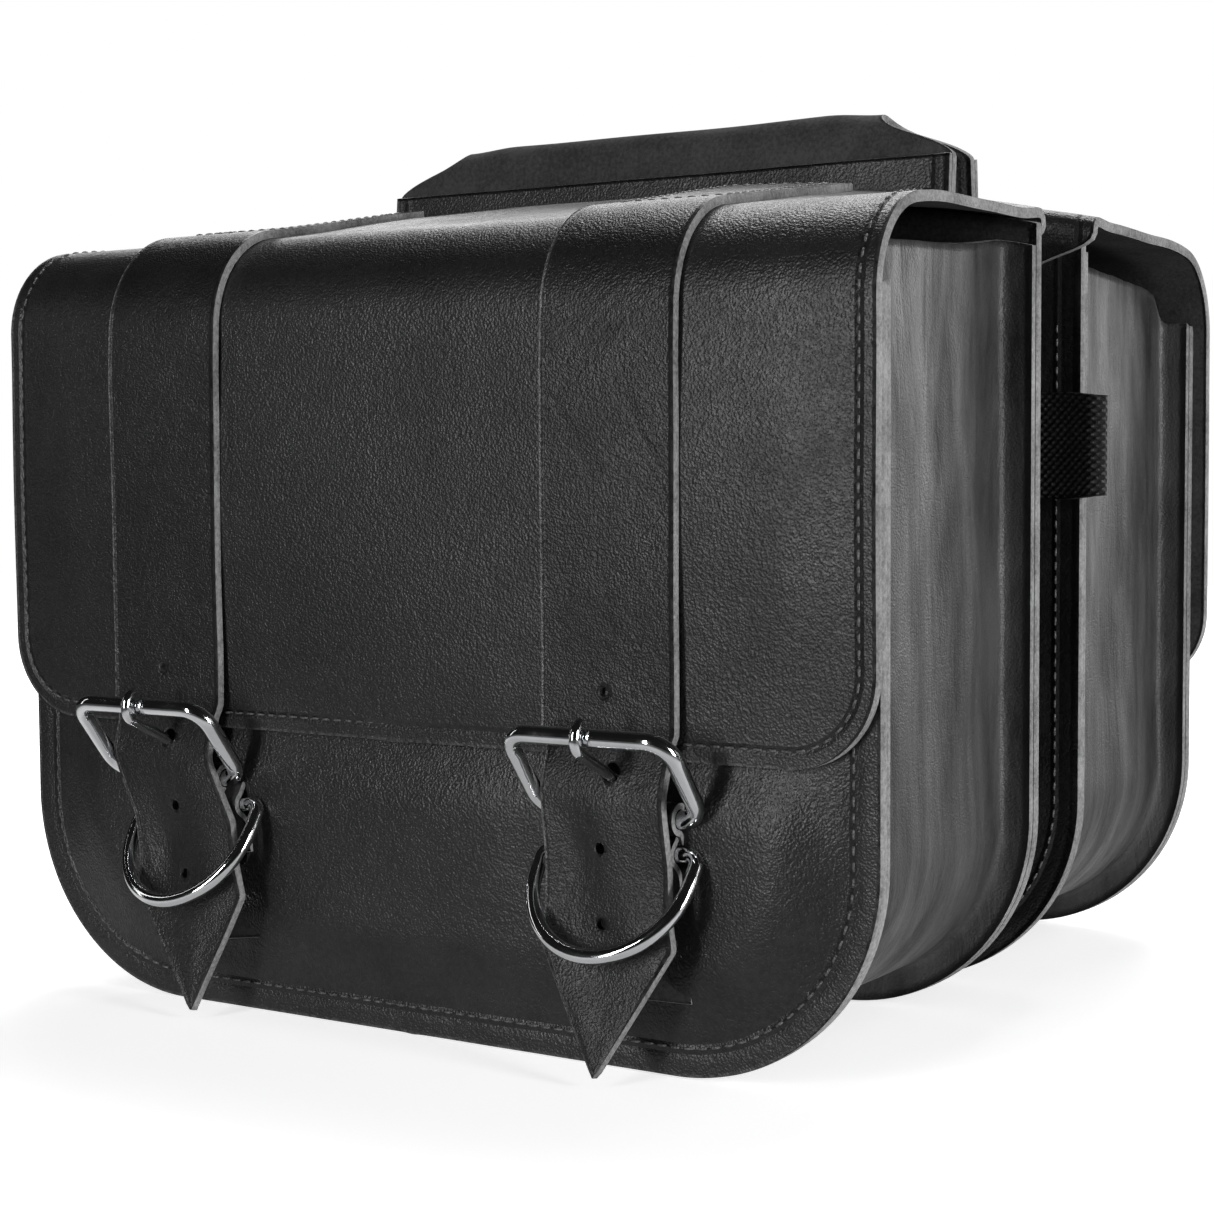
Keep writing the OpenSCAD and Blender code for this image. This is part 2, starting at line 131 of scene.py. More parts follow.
class Track:
    """A path in a plane, read by its length s: at(s) gives the point, side(s) the unit normal on its left."""

    def __init__(self, points):
        p = np.asarray(points, float)
        step = np.linalg.norm(np.diff(p, axis=0), axis=1)
        keep = np.concatenate([[True], step > 1e-6])
        p = p[keep]
        self.s = np.concatenate([[0], np.cumsum(np.linalg.norm(np.diff(p, axis=0), axis=1))])
        self.length = self.s[-1]
        self.p = p
        t = np.gradient(p, self.s, axis=0)
        t /= np.linalg.norm(t, axis=1)[:, None]
        self.n = np.stack([-t[:, 1], t[:, 0]], 1)

    def at(self, s):
        return np.stack([np.interp(s, self.s, self.p[:, k]) for k in (0, 1)], -1)

    def side(self, s):
        n = np.stack([np.interp(s, self.s, self.n[:, k]) for k in (0, 1)], -1)
        return n / np.linalg.norm(n, axis=-1, keepdims=True)

    def s_near(self, axis, value):
        """Length at which the last crossing of a coordinate takes place."""
        d = self.p[:, axis] - value
        k = np.nonzero(d[:-1] * d[1:] <= 0)[0][-1]
        return self.s[k] + (self.s[k + 1] - self.s[k]) * d[k] / (d[k] - d[k + 1] + 1e-12)


def place(side, points):
    """The right bag is the left one turned half round the upright axis."""
    return points * np.array([-1, -1, 1.0]) if side == "right" else points


def place_yoke(side, points):
    """The yoke keeps its middle, so its right half turns about that middle."""
    return points * np.array([-1, -1, 1.0]) + np.array([2 * YOKE_X, 0, 0]) if side == "right" else points


# ---- meshes ----

def make_object(name, points, faces, slots, materials, edge=None):
    """A smooth mesh piece in metres. edge holds, per point, the distance from the cut edge and along it."""
    mesh = bpy.data.meshes.new(name)
    mesh.from_pydata((np.asarray(points) * MM).tolist(), [], [list(f) for f in faces])
    mesh.polygons.foreach_set("material_index", np.asarray(slots, np.int32))
    mesh.polygons.foreach_set("use_smooth", np.ones(len(mesh.polygons), bool))
    if edge is not None:
        corner = np.zeros(len(mesh.loops), np.int32)
        mesh.loops.foreach_get("vertex_index", corner)
        layer = mesh.uv_layers.new(name="edge")
        layer.data.foreach_set("uv", (np.asarray(edge)[corner] * MM).astype(np.float32).ravel())
    for material in materials:
        mesh.materials.append(material)
    mesh.update()
    obj = bpy.data.objects.new(name, mesh)
    bpy.context.scene.collection.objects.link(obj)
    return obj


def grid_faces(rows, cols, start=0, wrap_rows=False, wrap_cols=False):
    """Four-sided faces of a grid of points, numbered row by row."""
    i, j = np.meshgrid(np.arange(rows - (not wrap_rows)), np.arange(cols - (not wrap_cols)), indexing="ij")
    i2, j2 = (i + 1) % rows, (j + 1) % cols
    return start + np.stack([i * cols + j, i2 * cols + j, i2 * cols + j2, i * cols + j2], -1).reshape(-1, 4)


def outward(points, faces):
    """The faces, all turned over if the closed shape's signed volume is negative."""
    a, b, c, d = (points[faces[:, k]] for k in range(4))
    volume = np.sum(a * np.cross(b, c)) + np.sum(a * np.cross(c, d))
    return faces[:, ::-1] if volume < 0 else faces


def crossed(s, count):
    """Two grids: lengths s down the rows, and count shares from -1 to 1 across the columns."""
    return np.meshgrid(s, np.linspace(-1, 1, count), indexing="ij")


def shell(name, outer, inner, materials, distance=None, along=None, puff=0.35):
    """A leather sheet: an outer and an inner grid, closed by a rim.

    The rim's two middle loops lie at 12% and 88% of the thickness, and are pushed out of the sheet by a
    third of puff times the thickness."""
    rows, cols = outer.shape[:2]
    count = rows * cols
    i = np.concatenate([np.zeros(cols - 1), np.arange(rows - 1),
                        np.full(cols - 1, rows - 1), np.arange(rows - 1, 0, -1)]).astype(int)
    j = np.concatenate([np.arange(cols - 1), np.full(rows - 1, cols - 1),
                        np.arange(cols - 1, 0, -1), np.zeros(rows - 1)]).astype(int)
    ring = i * cols + j
    near = np.clip(i, 1, rows - 2) * cols + np.clip(j, 1, cols - 2)
    o, n = outer.reshape(-1, 3), inner.reshape(-1, 3)
    out = o[ring] - o[near]
    out /= np.linalg.norm(out, axis=1)[:, None] + 1e-9
    thick = n[ring] - o[ring]
    push = puff * np.linalg.norm(thick, axis=1)[:, None] / 3
    mid1 = o[ring] + 0.12 * thick + out * push
    mid2 = o[ring] + 0.88 * thick + out * push
    points = np.concatenate([o, n, mid1, mid2])
    top = grid_faces(rows, cols)
    low = grid_faces(rows, cols, count)[:, ::-1]
    k = np.arange(len(ring))
    k2 = (k + 1) % len(ring)
    m1, m2 = 2 * count, 2 * count + len(ring)
    rims = [np.stack([a[k2], a[k], b[k], b[k2]], 1) for a, b in
            ((ring, m1 + k), (m1 + k, m2 + k), (m2 + k, count + ring))]
    faces = np.concatenate([top, low] + rims)
    sizes = [len(top), len(low)] + [len(ring)] * 3
    slots = np.repeat([0, 1, 2, 2, 2], sizes)
    faces = outward(points, faces)
    edge = None
    if distance is not None:
        d = np.broadcast_to(distance, (rows, cols)).ravel()
        a = np.broadcast_to(along if along is not None else 0 * distance, (rows, cols)).ravel()
        zero = np.zeros(len(ring))
        edge = np.stack([np.concatenate([d, d, zero, zero]), np.concatenate([a, a, a[ring], a[ring]])], 1)
    return make_object(name, points, faces, slots, materials, edge)


def tube(path, radius, hint, closed, around=20):
    """Points and faces of a round wire: circles of the given radius carried along a path.

    Each circle stands across the path's direction, with its zero angle along hint."""
    p = np.asarray(path, float)
    t = (np.roll(p, -1, 0) - np.roll(p, 1, 0)) if closed else np.gradient(p, axis=0)
    t /= np.linalg.norm(t, axis=1)[:, None]
    side = np.cross(np.broadcast_to(hint, p.shape), t)
    side /= np.linalg.norm(side, axis=1)[:, None]
    up = np.cross(t, side)
    a = np.linspace(0, 2 * np.pi, around, endpoint=False)
    r = np.broadcast_to(radius, (len(p),))[:, None, None]
    points = p[:, None] + r * (np.cos(a)[None, :, None] * up[:, None] + np.sin(a)[None, :, None] * side[:, None])
    faces = grid_faces(len(p), around, wrap_rows=closed, wrap_cols=True)
    points = points.reshape(-1, 3)
    if not closed:
        caps = np.stack([p[0], p[-1]])
        k, k2 = np.arange(around), (np.arange(around) + 1) % around
        last = (len(p) - 1) * around
        first, final = np.full(around, len(points)), np.full(around, len(points) + 1)
        first_cap = np.stack([first, k, k2, first], 1)
        last_cap = np.stack([final, last + k2, last + k, final], 1)
        points = np.concatenate([points, caps])
        faces = np.concatenate([faces, first_cap, last_cap])
    return points, outward(points, faces).tolist()


def joined(name, parts, material):
    """One smooth piece out of several sets of points and faces. A corner that repeats in a face is left out."""
    points, faces, start = [], [], 0
    for p, f in parts:
        points.append(p)
        faces += [[v + start for v in dict.fromkeys(face)] for face in f]
        start += len(p)
    return make_object(name, np.concatenate(points), faces, np.zeros(len(faces)), [material])


def fit_piece(obj, slot, body, *nodes):
    """Gives a finished piece its body, and lets it stand in for CAD nodes. The slot is not used."""
    if nodes:
        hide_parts(*nodes)
    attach(obj, body)


def stitch_row(points, normals, pitch=5.0, length=3.7, radius=0.5, sink=0.15):
    """Points and faces of a row of stitches along a path that lies on a surface.

    Each stitch is a five-sided bead with five rings: its radius swells from a quarter to the full
    size, and its middle rises in an arch above the surface."""
    p = np.asarray(points, float)
    s = np.concatenate([[0], np.cumsum(np.linalg.norm(np.diff(p, axis=0), axis=1))])
    count = max(int(s[-1] / pitch), 1)
    middle = (np.arange(count) + 0.5) * s[-1] / count
    share = np.array([-0.5, -0.36, 0.0, 0.36, 0.5])
    at = middle[:, None] + share[None, :] * length
    c = np.stack([np.interp(at, s, p[:, k]) for k in range(3)], -1)
    n = np.stack([np.interp(at, s, normals[:, k]) for k in range(3)], -1)
    n /= np.linalg.norm(n, axis=-1, keepdims=True)
    t = c[:, -1:] - c[:, :1]
    t = t / (np.linalg.norm(t, axis=-1, keepdims=True) + 1e-9)
    side = np.cross(n, np.broadcast_to(t, n.shape))
    swell = radius * np.array([0.3, 0.85, 1.0, 0.85, 0.3])
    rise = radius * np.array([-0.9, 0.15, 0.45, 0.15, -0.9]) - sink
    a = np.linspace(0, 2 * np.pi, 5, endpoint=False)
    ring = (c + n * rise[None, :, None])[:, :, None] + swell[None, :, None, None] * (
        np.cos(a)[None, None, :, None] * n[:, :, None] + np.sin(a)[None, None, :, None] * side[:, :, None])
    one = grid_faces(5, 5, wrap_cols=True)
    faces = [f for k in range(count) for f in (one + 25 * k).tolist()]
    for k in range(count):
        faces += [[25 * k + v for v in (0, 1, 2, 3, 4)], [25 * k + 20 + v for v in (4, 3, 2, 1, 0)]]
    return ring.reshape(-1, 3), faces


def stitches(name, rows, body):
    """All of one body's stitch rows, as one piece that rides on it."""
    fit_piece(joined(name, rows, THREAD), "leather_black", body)


def on_surface(surface, a, b, da=0.5, db=0.5):
    """Points on a surface function at (a, b), and its unit normals from small steps both ways."""
    n = np.cross(surface(a + da, b) - surface(a - da, b), surface(a, b + db) - surface(a, b - db))
    return surface(a, b), n / (np.linalg.norm(n, axis=-1, keepdims=True) + 1e-9)


# ---- materials ----

def new_group(name, inputs, outputs):
    """An empty shader node group, with float outputs and float inputs. An input without a value is a vector."""
    group = bpy.data.node_groups.new(name, "ShaderNodeTree")
    for label, value in inputs.items():
        kind = "NodeSocketVector" if value is None else "NodeSocketFloat"
        socket = group.interface.new_socket(name=label, in_out="INPUT", socket_type=kind)
        if value is not None:
            socket.default_value = value
    for label in outputs:
        group.interface.new_socket(name=label, in_out="OUTPUT", socket_type="NodeSocketFloat")
    return group, Wiring(group)


class Wiring:
    """Short calls that add nodes to a tree and join them. Values that are sockets are linked, the rest are set."""

    def __init__(self, tree):
        self.tree = tree

    def node(self, kind, values=None, **settings):
        n = self.tree.nodes.new(kind)
        for key, value in settings.items():
            setattr(n, key, value)
        for key, value in (values or {}).items():
            self.put(value, n.inputs[key])
        return n

    def put(self, value, socket):
        if isinstance(value, bpy.types.NodeSocket):
            self.tree.links.new(value, socket)
        else:
            socket.default_value = value

    def math(self, operation, a, b=0.0):
        return self.node("ShaderNodeMath", {0: a, 1: b}, operation=operation).outputs[0]

    def group(self, tree, values):
        """Adds a shared group, sets or links its inputs, and gives back its outputs."""
        n = self.tree.nodes.new("ShaderNodeGroup")
        n.node_tree = tree
        for key, value in values.items():
            self.put(value, n.inputs[key])
        return n.outputs

    def times(self, a, b):
        return self.math("MULTIPLY", a, b)

    def plus(self, a, b):
        return self.math("ADD", a, b)

    def noise(self, vector, scale, detail=3.0, roughness=0.5, distortion=0.0):
        return self.node("ShaderNodeTexNoise", {"Vector": vector, "Scale": scale, "Detail": detail,
                         "Roughness": roughness, "Distortion": distortion}).outputs["Fac"]

    def span(self, value, a, b, c=0.0, d=1.0):
        """Value from a..b, clipped, made into c..d."""
        return self.node("ShaderNodeMapRange", {"Value": value, "From Min": a, "From Max": b,
                         "To Min": c, "To Max": d}).outputs["Result"]

    def ramp(self, value, a, dark, b, light):
        """Dark where value is a, light where it is b, and even between."""
        n = self.node("ShaderNodeValToRGB", {"Fac": value})
        for stop, place_at, colour in zip(n.color_ramp.elements, (a, b), (dark, light)):
            stop.position, stop.color = place_at, (*colour, 1)
        return n.outputs["Color"]

    def mix(self, share, a, b):
        return self.node("ShaderNodeMix", {0: share, 6: a, 7: b}, data_type="RGBA").outputs[2]

    def finish(self, shader, colour, roughness, height=None, strength=1.0, distance=0.001):
        """Joins a colour, a roughness and a bumped surface to the shader."""
        self.tree.links.new(colour, shader.inputs["Base Color"])
        self.tree.links.new(roughness, shader.inputs["Roughness"])
        if height is not None:
            n = self.node("ShaderNodeBump", {"Height": height, "Strength": strength, "Distance": distance})
            self.tree.links.new(n.outputs["Normal"], shader.inputs["Normal"])


def grey(value, blue=0.001):
    """A grey with a touch more blue."""
    return value, value, value + blue


def pebble_group():
    """Pebbled leather: a rounded cell pattern, broken up by fine noise, with a slow tone over it."""
    group, w = new_group("pebble grain", {"Vector": None, "Size": 900.0}, ["Height", "Tone"])
    i = w.node("NodeGroupInput").outputs
    cells = w.node("ShaderNodeTexVoronoi", {"Vector": i["Vector"], "Scale": i["Size"], "Randomness": 1.0},
                   feature="SMOOTH_F1").outputs["Distance"]
    fine = w.noise(i["Vector"], w.times(i["Size"], 0.45), 4.0, 0.65)
    broad = w.noise(i["Vector"], w.times(i["Size"], 0.03), 4.0, 0.6)
    height = w.plus(w.times(w.math("SUBTRACT", 1.0, cells), 0.55), w.times(fine, 0.6))
    w.node("NodeGroupOutput", {"Height": height, "Tone": w.plus(w.times(broad, 0.45),
           w.times(fine, 0.55))})
    return group


def crease_group():
    """Creases: stretched noise folded about its middle, so that thin valleys run along one direction."""
    group, w = new_group("soft creases", {"Vector": None, "Size": 40.0}, ["Height"])
    i = w.node("NodeGroupInput").outputs
    n = w.noise(i["Vector"], i["Size"], 5.0, 0.6, 0.8)
    fold = w.math("ABSOLUTE", w.math("SUBTRACT", n, 0.5))
    w.node("NodeGroupOutput", {"Height": w.span(fold, 0.0, 0.09, 0.0, 1.0)})
    return group


def seam_group():
    """A sewn line: a dip along the distance Line from the cut edge, and a worn band next to the edge."""
    group, w = new_group("sewn line", {"Distance": 0.0, "Line": 0.0055}, ["Height", "Wear"])
    i = w.node("NodeGroupInput").outputs
    away = w.math("ABSOLUTE", w.math("SUBTRACT", i["Distance"], i["Line"]))
    w.node("NodeGroupOutput", {"Height": w.span(away, 0.0, 0.0016, 0.0, 1.0),
                               "Wear": w.span(i["Distance"], 0.0, 0.0013, 1.0, 0.0)})
    return group


PEBBLE, CREASE, SEAM = pebble_group(), crease_group(), seam_group()


def new_material(name, **plain):
    """A material with one Principled shader, whose plain values are set on its own sockets, and its
    coordinates on the object."""
    material = bpy.data.materials.new(name)
    material.use_nodes = True
    tree = material.node_tree
    shader = next(n for n in tree.nodes if n.type == "BSDF_PRINCIPLED")
    for key, value in plain.items():
        shader.inputs[key.replace("_", " ")].default_value = value
    w = Wiring(tree)
    return material, w, shader, w.node("ShaderNodeTexCoord").outputs["Object"]


def leather(name, dark, light, gloss, rough, grain=1300.0, depth=0.5, crease=0.0, crease_size=30.0,
            stretch=(1, 1, 1), line=0.0055, seam=0.0, streak=0.0):
    """Black hide: pebble grain and creases in the bump, a slow change of tone, and wear beside the cut edge."""
    material, w, shader, where = new_material(name, Specular_IOR_Level=gloss)
    pebble = w.group(PEBBLE, {"Vector": where, "Size": grain})
    stretched = w.node("ShaderNodeMapping", {"Vector": where, "Scale": stretch}).outputs["Vector"]
    folds = w.group(CREASE, {"Vector": stretched, "Size": crease_size})
    mottle = w.noise(stretched, crease_size * 1.6, 6.0, 0.62, 0.4)
    tone = w.plus(w.times(pebble["Tone"], 1.0 - streak), w.times(mottle, streak))
    colour = w.ramp(tone, 0.38, dark, 0.62, light)
    height = w.plus(w.times(pebble["Height"], depth),
                    w.times(folds["Height"], crease))
    if seam:
        edge = w.node("ShaderNodeUVMap", uv_map="edge").outputs["UV"]
        distance = w.node("ShaderNodeSeparateXYZ", {0: edge}).outputs["X"]
        sewn = w.group(SEAM, {"Distance": distance, "Line": line})
        height = w.plus(height, w.times(sewn["Height"], seam))
        scuff = w.times(sewn["Wear"], w.span(w.noise(where, 500.0, 3.0), 0.35, 0.65))
        colour = w.mix(scuff, colour, (*grey(0.10, 0.005), 1))
    w.finish(shader, colour, w.span(tone, 0.34, 0.66, rough + 0.11, rough - 0.09), height, 1.0, 0.0007)
    return material


def cut_edge(name, dark, light, size=700.0):
    """The raw cut edge of leather: rough grey fibres, lighter and darker in short streaks."""
    material, w, shader, where = new_material(name, Specular_IOR_Level=0.25)
    fibre = w.noise(where, size, 5.0, 0.7)
    slow = w.noise(where, size * 0.08, 3.0)
    tone = w.plus(w.times(fibre, 0.6), w.times(slow, 0.4))
    w.finish(shader, w.ramp(tone, 0.36, dark, 0.64, light), w.span(fibre, 0.3, 0.7, 0.62, 0.9), fibre, 0.8, 0.0004)
    return material


def plated_steel():
    """Bright plating: almost a mirror, with faint smears in its roughness and a slight ripple."""
    material, w, shader, where = new_material("chrome plating", Metallic=1.0)
    smear = w.noise(where, 90.0, 4.0, 0.6)
    w.finish(shader, w.ramp(smear, 0.3, (0.74, 0.75, 0.77), 0.7, (0.86, 0.87, 0.88)),
             w.span(smear, 0.3, 0.75, 0.04, 0.14), w.noise(where, 260.0, 2.0), 0.12, 0.0003)
    return material


def woven_webbing():
    """Coarse nylon webbing: two crossed waves on the piece's own map make the plain weave."""
    material, w, shader, where = new_material("webbing", Specular_IOR_Level=0.35)
    uv = w.node("ShaderNodeUVMap", uv_map="edge").outputs["UV"]
    xyz = w.node("ShaderNodeSeparateXYZ", {0: uv})
    warp = w.math("SINE", w.times(xyz.outputs["X"], 2 * math.pi / 0.0034))
    weft = w.math("SINE", w.times(xyz.outputs["Y"], 2 * math.pi / 0.0030))
    weave = w.plus(w.times(w.times(warp, weft), 0.5), 0.5)
    fuzz = w.noise(where, 2200.0, 3.0, 0.7)
    dots = w.times(w.span(weave, 0.62, 0.95), w.span(fuzz, 0.45, 0.62))
    w.finish(shader, w.ramp(dots, 0.0, grey(0.008), 1.0, grey(0.16, 0.005)), w.span(weave, 0.0, 1.0, 0.75, 0.5),
             w.plus(weave, w.times(fuzz, 0.35)), 1.0, 0.0012)
    return material


def fibre_board():
    """Stiffening board, near black so that the mouth gap under the lid reads dark as painted shade: pressed fibres
    in a rough, flecked face.
    """
    material, w, shader, where = new_material("fibre board, painted shade", Specular_IOR_Level=0.2)
    drawn = w.node("ShaderNodeMapping", {"Vector": where, "Scale": (1, 3, 1)}).outputs["Vector"]
    fleck = w.noise(drawn, 320.0, 6.0, 0.7)
    w.finish(shader, w.ramp(fleck, 0.35, (0.012, 0.011, 0.010), 0.65, (0.045, 0.042, 0.040)),
             w.span(fleck, 0.3, 0.7, 0.7, 0.95), fleck, 0.6, 0.0005)
    return material


def waxed_thread():
    """Black waxed thread: a fine spiral of tone across each stitch, lightened up to a mid grey as painted glints.
    """
    material, w, shader, where = new_material("waxed thread", Specular_IOR_Level=0.5)
    twist_and_painted_glint = w.noise(where, 1600.0, 2.0)
    w.finish(shader, w.ramp(twist_and_painted_glint, 0.35, grey(0.035), 0.65, grey(0.16, 0.002)), w.span(twist_and_painted_glint, 0.3, 0.7, 0.35, 0.6))
    return material


HIDE = leather("black hide", grey(0.004, 0.0005), grey(0.024), 0.45, 0.36,
               seam=0.8, crease=0.08, crease_size=14.0)
HIDE_PANEL = leather("black hide, panels", grey(0.004, 0.0005), grey(0.020), 0.45, 0.34,
                     seam=0.9, line=0.009, crease=0.14, crease_size=16.0)
HIDE_STRAP = leather("strap hide", grey(0.004, 0.0005), grey(0.020), 0.38, 0.34, grain=1500.0,
                     seam=0.01, line=0.05, crease=0.16, crease_size=22.0)
HIDE_SOFT = leather("soft gusset hide", grey(0.014), grey(0.078, 0.002), 0.5, 0.48, grain=1500.0, depth=0.4,
                    crease=0.25, crease_size=26.0, stretch=(1.0, 1.6, 0.28), streak=0.75)
# The yoke is the same black hide painted several times lighter: painted light for its brightly lit crest.
YOKE_HIDE_PAINTED_LIGHT = leather("yoke hide, painted lighter", grey(0.045), grey(0.150, 0.002), 0.5, 0.42,
                    seam=0.4, crease=0.08, crease_size=14.0)
FLESH = leather("flesh side", grey(0.035), grey(0.075, 0.002), 0.15, 0.85, grain=1500.0, depth=0.3)
EDGE = cut_edge("cut edge", grey(0.12), grey(0.42, 0.004))
# Darker cut edge for the punched hole walls: painted shade inside the holes.
HOLE_WALL_SHADE = cut_edge("cut edge, painted shade in holes", grey(0.02), grey(0.11, 0.003))
CHROME = plated_steel()
WEBBING = woven_webbing()
BOARD_PAINTED_SHADE = fibre_board()
THREAD = waxed_thread()
LEATHER_SET = [HIDE, FLESH, EDGE]


# ---- the bag ----

def half_width(z, inset=0.0, low=0.0, radius=CORNER_R, half=HALF_W):
    """Half the width of a panel at height z: full above the round bottom corners, less inside them."""
    r = radius - inset
    drop = np.clip(r - (z - low - inset), 0, r)
    return half - inset - (r - np.sqrt(np.maximum(r * r - drop * drop, 0)))


def edge_distance(x, z, low=0.0, radius=CORNER_R, half=HALF_W):
    """Distance from a point on a panel to its cut edge, round the bottom corners; the top edge doesn't count."""
    cx, cz = half - radius, low + radius
    ax = np.abs(x)
    corner = radius - np.hypot(ax - cx, cz - z)
    return np.where((ax > cx) & (z < cz), corner, np.minimum(half - ax, z - low))


def level_rows(low, high, radius, fine, coarse):
    """Heights for a grid's rows: close together where the bottom corner turns, then even."""
    a = np.linspace(0, np.pi / 2, fine)
    return np.concatenate([low + radius * (1 - np.cos(a)), np.linspace(low + radius, high, coarse)[1:]])


def droop(x):
    """How the crest stands above or below its mean height: high in the middle, low at both ends."""
    return 3.5 - 13.5 * np.minimum(np.abs((x + 3) / 181), 1.05) ** 3


def crest_share(y):
    """How much of the crest's droop the lid's top takes at depth y: none at the bend, all at the crest."""
    return ease(y, BEND_C[0] - 4, -26)


LID_TRACK = Track(rounded(np.concatenate([
    [[BACK_Y + 1.4, flap_low_z], [BACK_Y + 1.4, BACK_TOP_Z - 4]],
    [[BACK_Y + 0.8, BACK_TOP_Z + 1.6], [BACK_Y - 3.5, lid_hi[2] - LID_T / 2 - 0.4]],
    arc(BEND_C, BEND_R, 98, 180, 16),
    [[LID_Y, LID_LOW_Z]]]), 2))
LID_HALF = (lid_hi[0] - lid_lo[0]) / 2 + 1
LID_SHIFT = -2.5
LID_CORNER = 30.0
LID_TURN = LID_TRACK.s_near(1, lid_hi[2] - LID_T)
MOUTH_GAP = 9.0


def mouth_height(x, y):
    """Height of the gusset's top edge: a fixed gap under the lid, and the panel's height at the front."""
    s = np.linspace(LID_TURN, LID_TRACK.s_near(0, SEAM_FRONT_Y - 1), 80)
    under = LID_TRACK.at(s) + LID_TRACK.side(s) * LID_T / 2
    below_lid = np.interp(y, under[::-1, 0], under[::-1, 1]) - MOUTH_GAP + droop(x) * crest_share(y)
    return MOUTH_Z + (below_lid - MOUTH_Z) * ease(y, SEAM_FRONT_Y + 1, SEAM_FRONT_Y + 9)


BUCKLE_X = [float(np.mean([node_box(f"left_bag_{s}_buckle")[k][0] for k in (0, 1)])) for s in SIDES]
RING_X = [-91.28, 88.44]          # middle of each ring's straight bar
RING_TURN = [7.97, 1.67]          # degrees each ring and its chape are turned, to follow the strap
STRAP_MID = [x - 3 for x in BUCKLE_X]
TAIL_DRIFT = [24.0, 5.0]          # how far each strap's tip lies to the right of its middle
SEAM_IN = 9.2                     # stitches from the panel's edge


def front_face(x, z):
    """The front panel's face: flat in its seam margin, dipping at the seam, then puffed out where no strap
    holds it and where the lid doesn't cover it."""
    d = edge_distance(x, z)
    free = ease(d, 9, 38)
    low = ease(z, 112, 78)
    held = 1 - 0.75 * (hill(x, STRAP_MID[0] + 8, 34) + hill(x, STRAP_MID[1], 34)) * hill(z, 48, 60)
    puff = free * low * held * (5.2 + 1.6 * hill(x, 140, 40) * hill(z, 45, 30))
    dip = 0.7 * hill(d, 9.5, 2.6)
    wave = 0.45 * ripple(x, z * 1.4, 3, 85) * free * low
    crush = 0.35 * ripple(x * 0.5 + z, z - x, 9, 30) * hill(d, 16, 10) * low
    y = FACE_Y - puff + dip - wave - crush
    return np.stack([x, np.broadcast_to(y, np.shape(x)), z + 0 * x], -1)


def back_face(x, z):
    """The back panel's face: nearly flat, a little puffed inside its seam, lowered with the crest at the top."""
    d = edge_distance(x, z)
    puff = 1.2 * ease(d, 9, 40) * ease(z, 215, 120)
    y = BACK_Y + puff - 0.7 * hill(d, 9.5, 2.6)
    top = ease(z, 225, BACK_TOP_Z)
    return np.stack([x, np.broadcast_to(y, np.shape(x)), z + top * (droop(x) - 1.5)], -1)


def make_panel(side, name, face, top, rows, cols, crowd, flat_back):
    """A panel: a grid of heights by shares of the half width, close together towards the sides by the power
    crowd, with its face outside and a back at the depth flat_back, which is flat in the front panel."""
    z = level_rows(0, top, CORNER_R, *rows)[:, None]
    u = np.linspace(-1, 1, cols)[None, :]
    u = np.sign(u) * (1 - (1 - np.abs(u)) ** crowd)
    x = u * half_width(z)
    z = z + 0 * x
    outer = face(x, z)
    inner = np.stack([x, 0 * x, z], -1) if name == "front_panel" else outer.copy()
    inner[..., 1] = flat_back
    obj = shell(f"{side}_{name}", place(side, outer), place(side, inner), [HIDE_PANEL, FLESH, EDGE],
                edge_distance(x, z), x)
    fit_piece(obj, "leather_black", f"{side}_bag", f"{side}_bag_{name}")


def outline_points(samples):
    """The panel's outline from the left top, round the bottom, to the right top: points and inward normals."""
    w, r = HALF_W, CORNER_R
    left = np.stack([np.full(samples, -w), np.linspace(MOUTH_Z, r, samples, endpoint=False)], 1)
    right = left[::-1] * np.array([-1, 1])
    low = np.stack([np.linspace(r - w, w - r, samples + 2)[1:-1], np.zeros(samples)], 1)
    arc_l, arc_r = arc((r - w, r), r, 180, 270, 34), arc((w - r, r), r, 270, 360, 34)
    p = np.concatenate([left, arc_l, low, arc_r, right])
    n = np.concatenate([np.tile([1.0, 0], (samples, 1)), ((r - w, r) - arc_l) / r, np.tile([0, 1.0], (samples, 1)),
                        ((w - r, r) - arc_r) / r, np.tile([-1.0, 0], (samples, 1))])
    return p, n


def gusset_point(p, n, d, y):
    """A point of the gusset: in from the outline by d, at depth y. Its top edge follows the lid,
    the middle pulls in and wrinkles run down it, stronger near the mouth and round the corners."""
    mid = (SEAM_FRONT_Y + SEAM_BACK_Y) / 2
    half = (SEAM_BACK_Y - SEAM_FRONT_Y) / 2
    t = np.clip((y - mid) / half, -1, 1)
    soft = np.clip(1 - np.abs(t) ** 3, 0, 1) * ease(np.abs(d), 6, 10)
    upright = ease(p[..., 1], 60, 110)
    pull = 3.5 * soft * upright * (0.55 + 0.45 * ease(p[..., 1], 120, 240))
    wrinkle = soft * (0.9 * ripple(y * 2.2, p[..., 1] * 0.5, 21, 60) + 0.5 * ripple(y * 3, p[..., 1] * 0.9, 5, 34))
    inward = d + pull + wrinkle * (0.35 + 0.65 * upright)
    q = p + inward[..., None] * n
    sag = 2.5 * (1 - t * t) * ease(np.abs(d), 5, 10)
    rise = np.clip((p[..., 1] - CORNER_R) / (MOUTH_Z - CORNER_R), 0, 1)
    lift = mouth_height(q[..., 0], y) - MOUTH_Z - sag
    return np.stack([q[..., 0], y + 0 * q[..., 0], q[..., 1] + lift * rise], -1)


